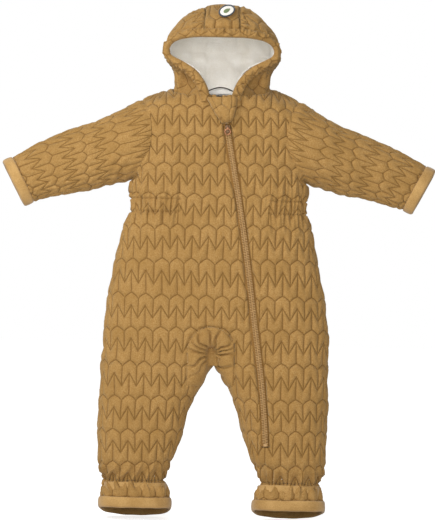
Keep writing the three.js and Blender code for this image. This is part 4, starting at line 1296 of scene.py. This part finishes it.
quiltPiece("chin_guard_quilt", chinRows, chinPlace, ["chin_guard"], "trunk", wall=2.4, fill=0.5)

badge = {"halfWidth": 12.2, "halfHeight": 8.4, "tilt": 25.0, "lift": 3.0}
badgeLow, badgeHigh = (toSuit(corner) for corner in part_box("hood_badge"))
badgeX, badgeZ = (badgeLow[0] + badgeHigh[0]) / 2, (badgeLow[2] + badgeHigh[2]) / 2


def badgeRows(shares, lifts, wide=1.0, count=72):
    turns = np.linspace(0, 2 * math.pi, count, endpoint=False)
    lean = math.radians(badge["tilt"])
    rows = []
    for share, lift in zip(shares, lifts):
        across = badge["halfWidth"] * share * wide * np.cos(turns)
        up = badge["halfHeight"] * share * wide * np.sin(turns)
        x = badgeX + across * math.cos(lean) - up * math.sin(lean)
        z = badgeZ + across * math.sin(lean) + up * math.cos(lean)
        surface = ontoHood(np.stack([x, hoodFront(x, z), z], axis=1))
        out, _ = hoodNormals(surface)
        rows.append(surface + out * (badge["lift"] + lift))
    return np.array(rows)


patchRows = badgeRows(np.linspace(0.9, 0, 16), np.linspace(0.2, 0.5, 16))
patch = pieceFrom("hood_badge_patch", patchRows, badgeTwill, close=True, wall=1.0)
declare(patch, ["hood_badge"], "badge_cloth", blend=hoodBlend)
# the overlocked edge's section: share of the badge's size, and lift
edgeLoop = [(0.84, 0.4), (0.87, 1.2), (0.93, 1.5), (0.99, 1.2), (1.02, 0.2), (0.99, -0.8), (0.9, -1.0),
            (0.84, -0.6), (0.84, 0.4)]
overlock = badgeRows(*zip(*edgeLoop), count=144)
overlock = overlock + 0.12 * np.where(np.arange(144) % 2, 1, -1)[None, :, None]
overlockPiece = pieceFrom("hood_badge_overlock", overlock, badgeThread, close=True)
declare(overlockPiece, [], "badge_cloth", blend=hoodBlend)


def leafPiece():
    # a plain embroidered leaf with a midrib
    along, over = np.meshgrid(np.linspace(-1, 1, 26), np.linspace(-1, 1, 9), indexing="ij")
    wide = 2.9 * (1 - along ** 2) ** 0.75 * (1 - 0.25 * along)
    lean = math.radians(badge["tilt"] + 8)
    across, up = 5.6 * along, wide * over
    x = badgeX + across * math.cos(lean) - up * math.sin(lean)
    z = badgeZ + across * math.sin(lean) + up * math.cos(lean)
    surface = ontoHood(np.stack([x.ravel(), hoodFront(x.ravel(), z.ravel()), z.ravel()], axis=1))
    out, _ = hoodNormals(surface)
    high = (badge["lift"] + 1.15 - 0.5 * np.abs(over) ** 3 - 0.35 * bump(over, 0, 0.14)).ravel()
    rows = (surface + out * high[:, None]).reshape(*x.shape, 3)
    return pieceFrom("hood_badge_leaf", rows[::-1], leafThread, wall=0.9)


declare(leafPiece(), [], "badge_cloth", blend=hoodBlend)

loopLow, loopHigh = (toSuit(corner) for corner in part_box("hanger_loop"))
loopMiddle = (loopLow + loopHigh) / 2
loopFoot, loopTop = loopLow[2], loopHigh[2]
loopStops = [(0, -24, 1.6, loopFoot + 1.5), (0.2, -21, 0.9, loopFoot + 8), (0.5, 0, -1.2, loopTop - 1.4),
             (0.8, 21, 0.9, loopFoot + 8), (1, 24, 1.6, loopFoot + 1.5)]
at = np.linspace(0, 1, 60)
loopPath = np.stack([curveThrough(loopStops, at, 1), loopMiddle[1] + curveThrough(loopStops, at, 2),
                     curveThrough(loopStops, at, 3)], axis=1)
loopAlong = np.gradient(loopPath, axis=0)
loopAlong /= np.linalg.norm(loopAlong, axis=1, keepdims=True)
loopOut = np.cross(loopAlong, (0, 1, 0))
section = [(-0.6, -2.1), (0.6, -2.1), (0.75, -1.6), (0.75, 1.6), (0.6, 2.1), (-0.6, 2.1), (-0.75, 1.6),
           (-0.75, -1.6)]
loopRows = [loopPath + loopOut * thin + np.array([0, 1, 0]) * wide for thin, wide in section]
loopTape = tubePiece("hanger_loop_tape", np.stack(loopRows, axis=1), loopWeave, capped=True)
declare(loopTape, ["hanger_loop"], "loop_tape", "trunk")


# stage, light and camera

floorMaterial, floorTree, floorShader, _ = newMaterial(
    "pale matt floor", 0.9, Base_Color=colour("fafafa"), Emission_Color=colour("ffffff"))
cameraOnly = addNode(floorTree, "ShaderNodeLightPath")
floorGlow = addNode(floorTree, "ShaderNodeMath", {0: cameraOnly.outputs["Is Camera Ray"], 1: 0.7},
                    operation="MULTIPLY")
floorTree.links.new(floorGlow.outputs[0], floorShader.inputs["Emission Strength"])
floorReach, floorDrop = 9000.0, -8
corners = [[(x, y, floorDrop) for x in (-floorReach, floorReach)] for y in (-floorReach, floorReach)]
floor = pieceFrom("floor", np.array(corners), floorMaterial)
world = bpy.data.worlds.new("studio")
bpy.context.scene.world = world
world.use_nodes = True
background = world.node_tree.nodes["Background"]
background.inputs["Color"].default_value = (1, 1, 1, 1)
seen = addNode(world.node_tree, "ShaderNodeLightPath")
glow = addNode(world.node_tree, "ShaderNodeMapRange", {"Value": seen.outputs["Is Camera Ray"], "To Min": 0.38,
                                                       "To Max": 1.0})
world.node_tree.links.new(glow.outputs[0], background.inputs["Strength"])
bpy.context.scene.view_settings.view_transform = "Standard"


def softLight(name, place, aim, size, power):
    lamp = bpy.data.lights.new(name, "AREA")
    lamp.size = size
    lamp.energy = power
    holder = bpy.data.objects.new(name, lamp)
    bpy.context.scene.collection.objects.link(holder)
    holder.location = Vector(toRow(place))
    holder.rotation_euler = (Vector(toRow(aim)) - holder.location).to_track_quat("-Z", "Y").to_euler()


softLight("key", (-1000, -1000, 1500), (0, 0, 380), 0.6, 18)
softLight("front", (-100, -2500, 760), (0, 0, 480), 1.0, 34)

lens = 200.0
viewHeight = 780.0
distance = viewHeight * lens / 36
cameraData = bpy.data.cameras.new("camera")
cameraData.lens = lens
cameraData.sensor_width = 36
cameraData.clip_end = 50
camera = bpy.data.objects.new("camera", cameraData)
bpy.context.scene.collection.objects.link(camera)
camera.location = Vector(toRow((0.75, -30 - distance, 385.5)))
upright = Matrix.Rotation(math.radians(90), 4, "X")
lean = Matrix.Rotation(math.radians(1.3), 4, "Z")
camera.rotation_euler = (upright @ lean).to_euler()
bpy.context.scene.camera = camera
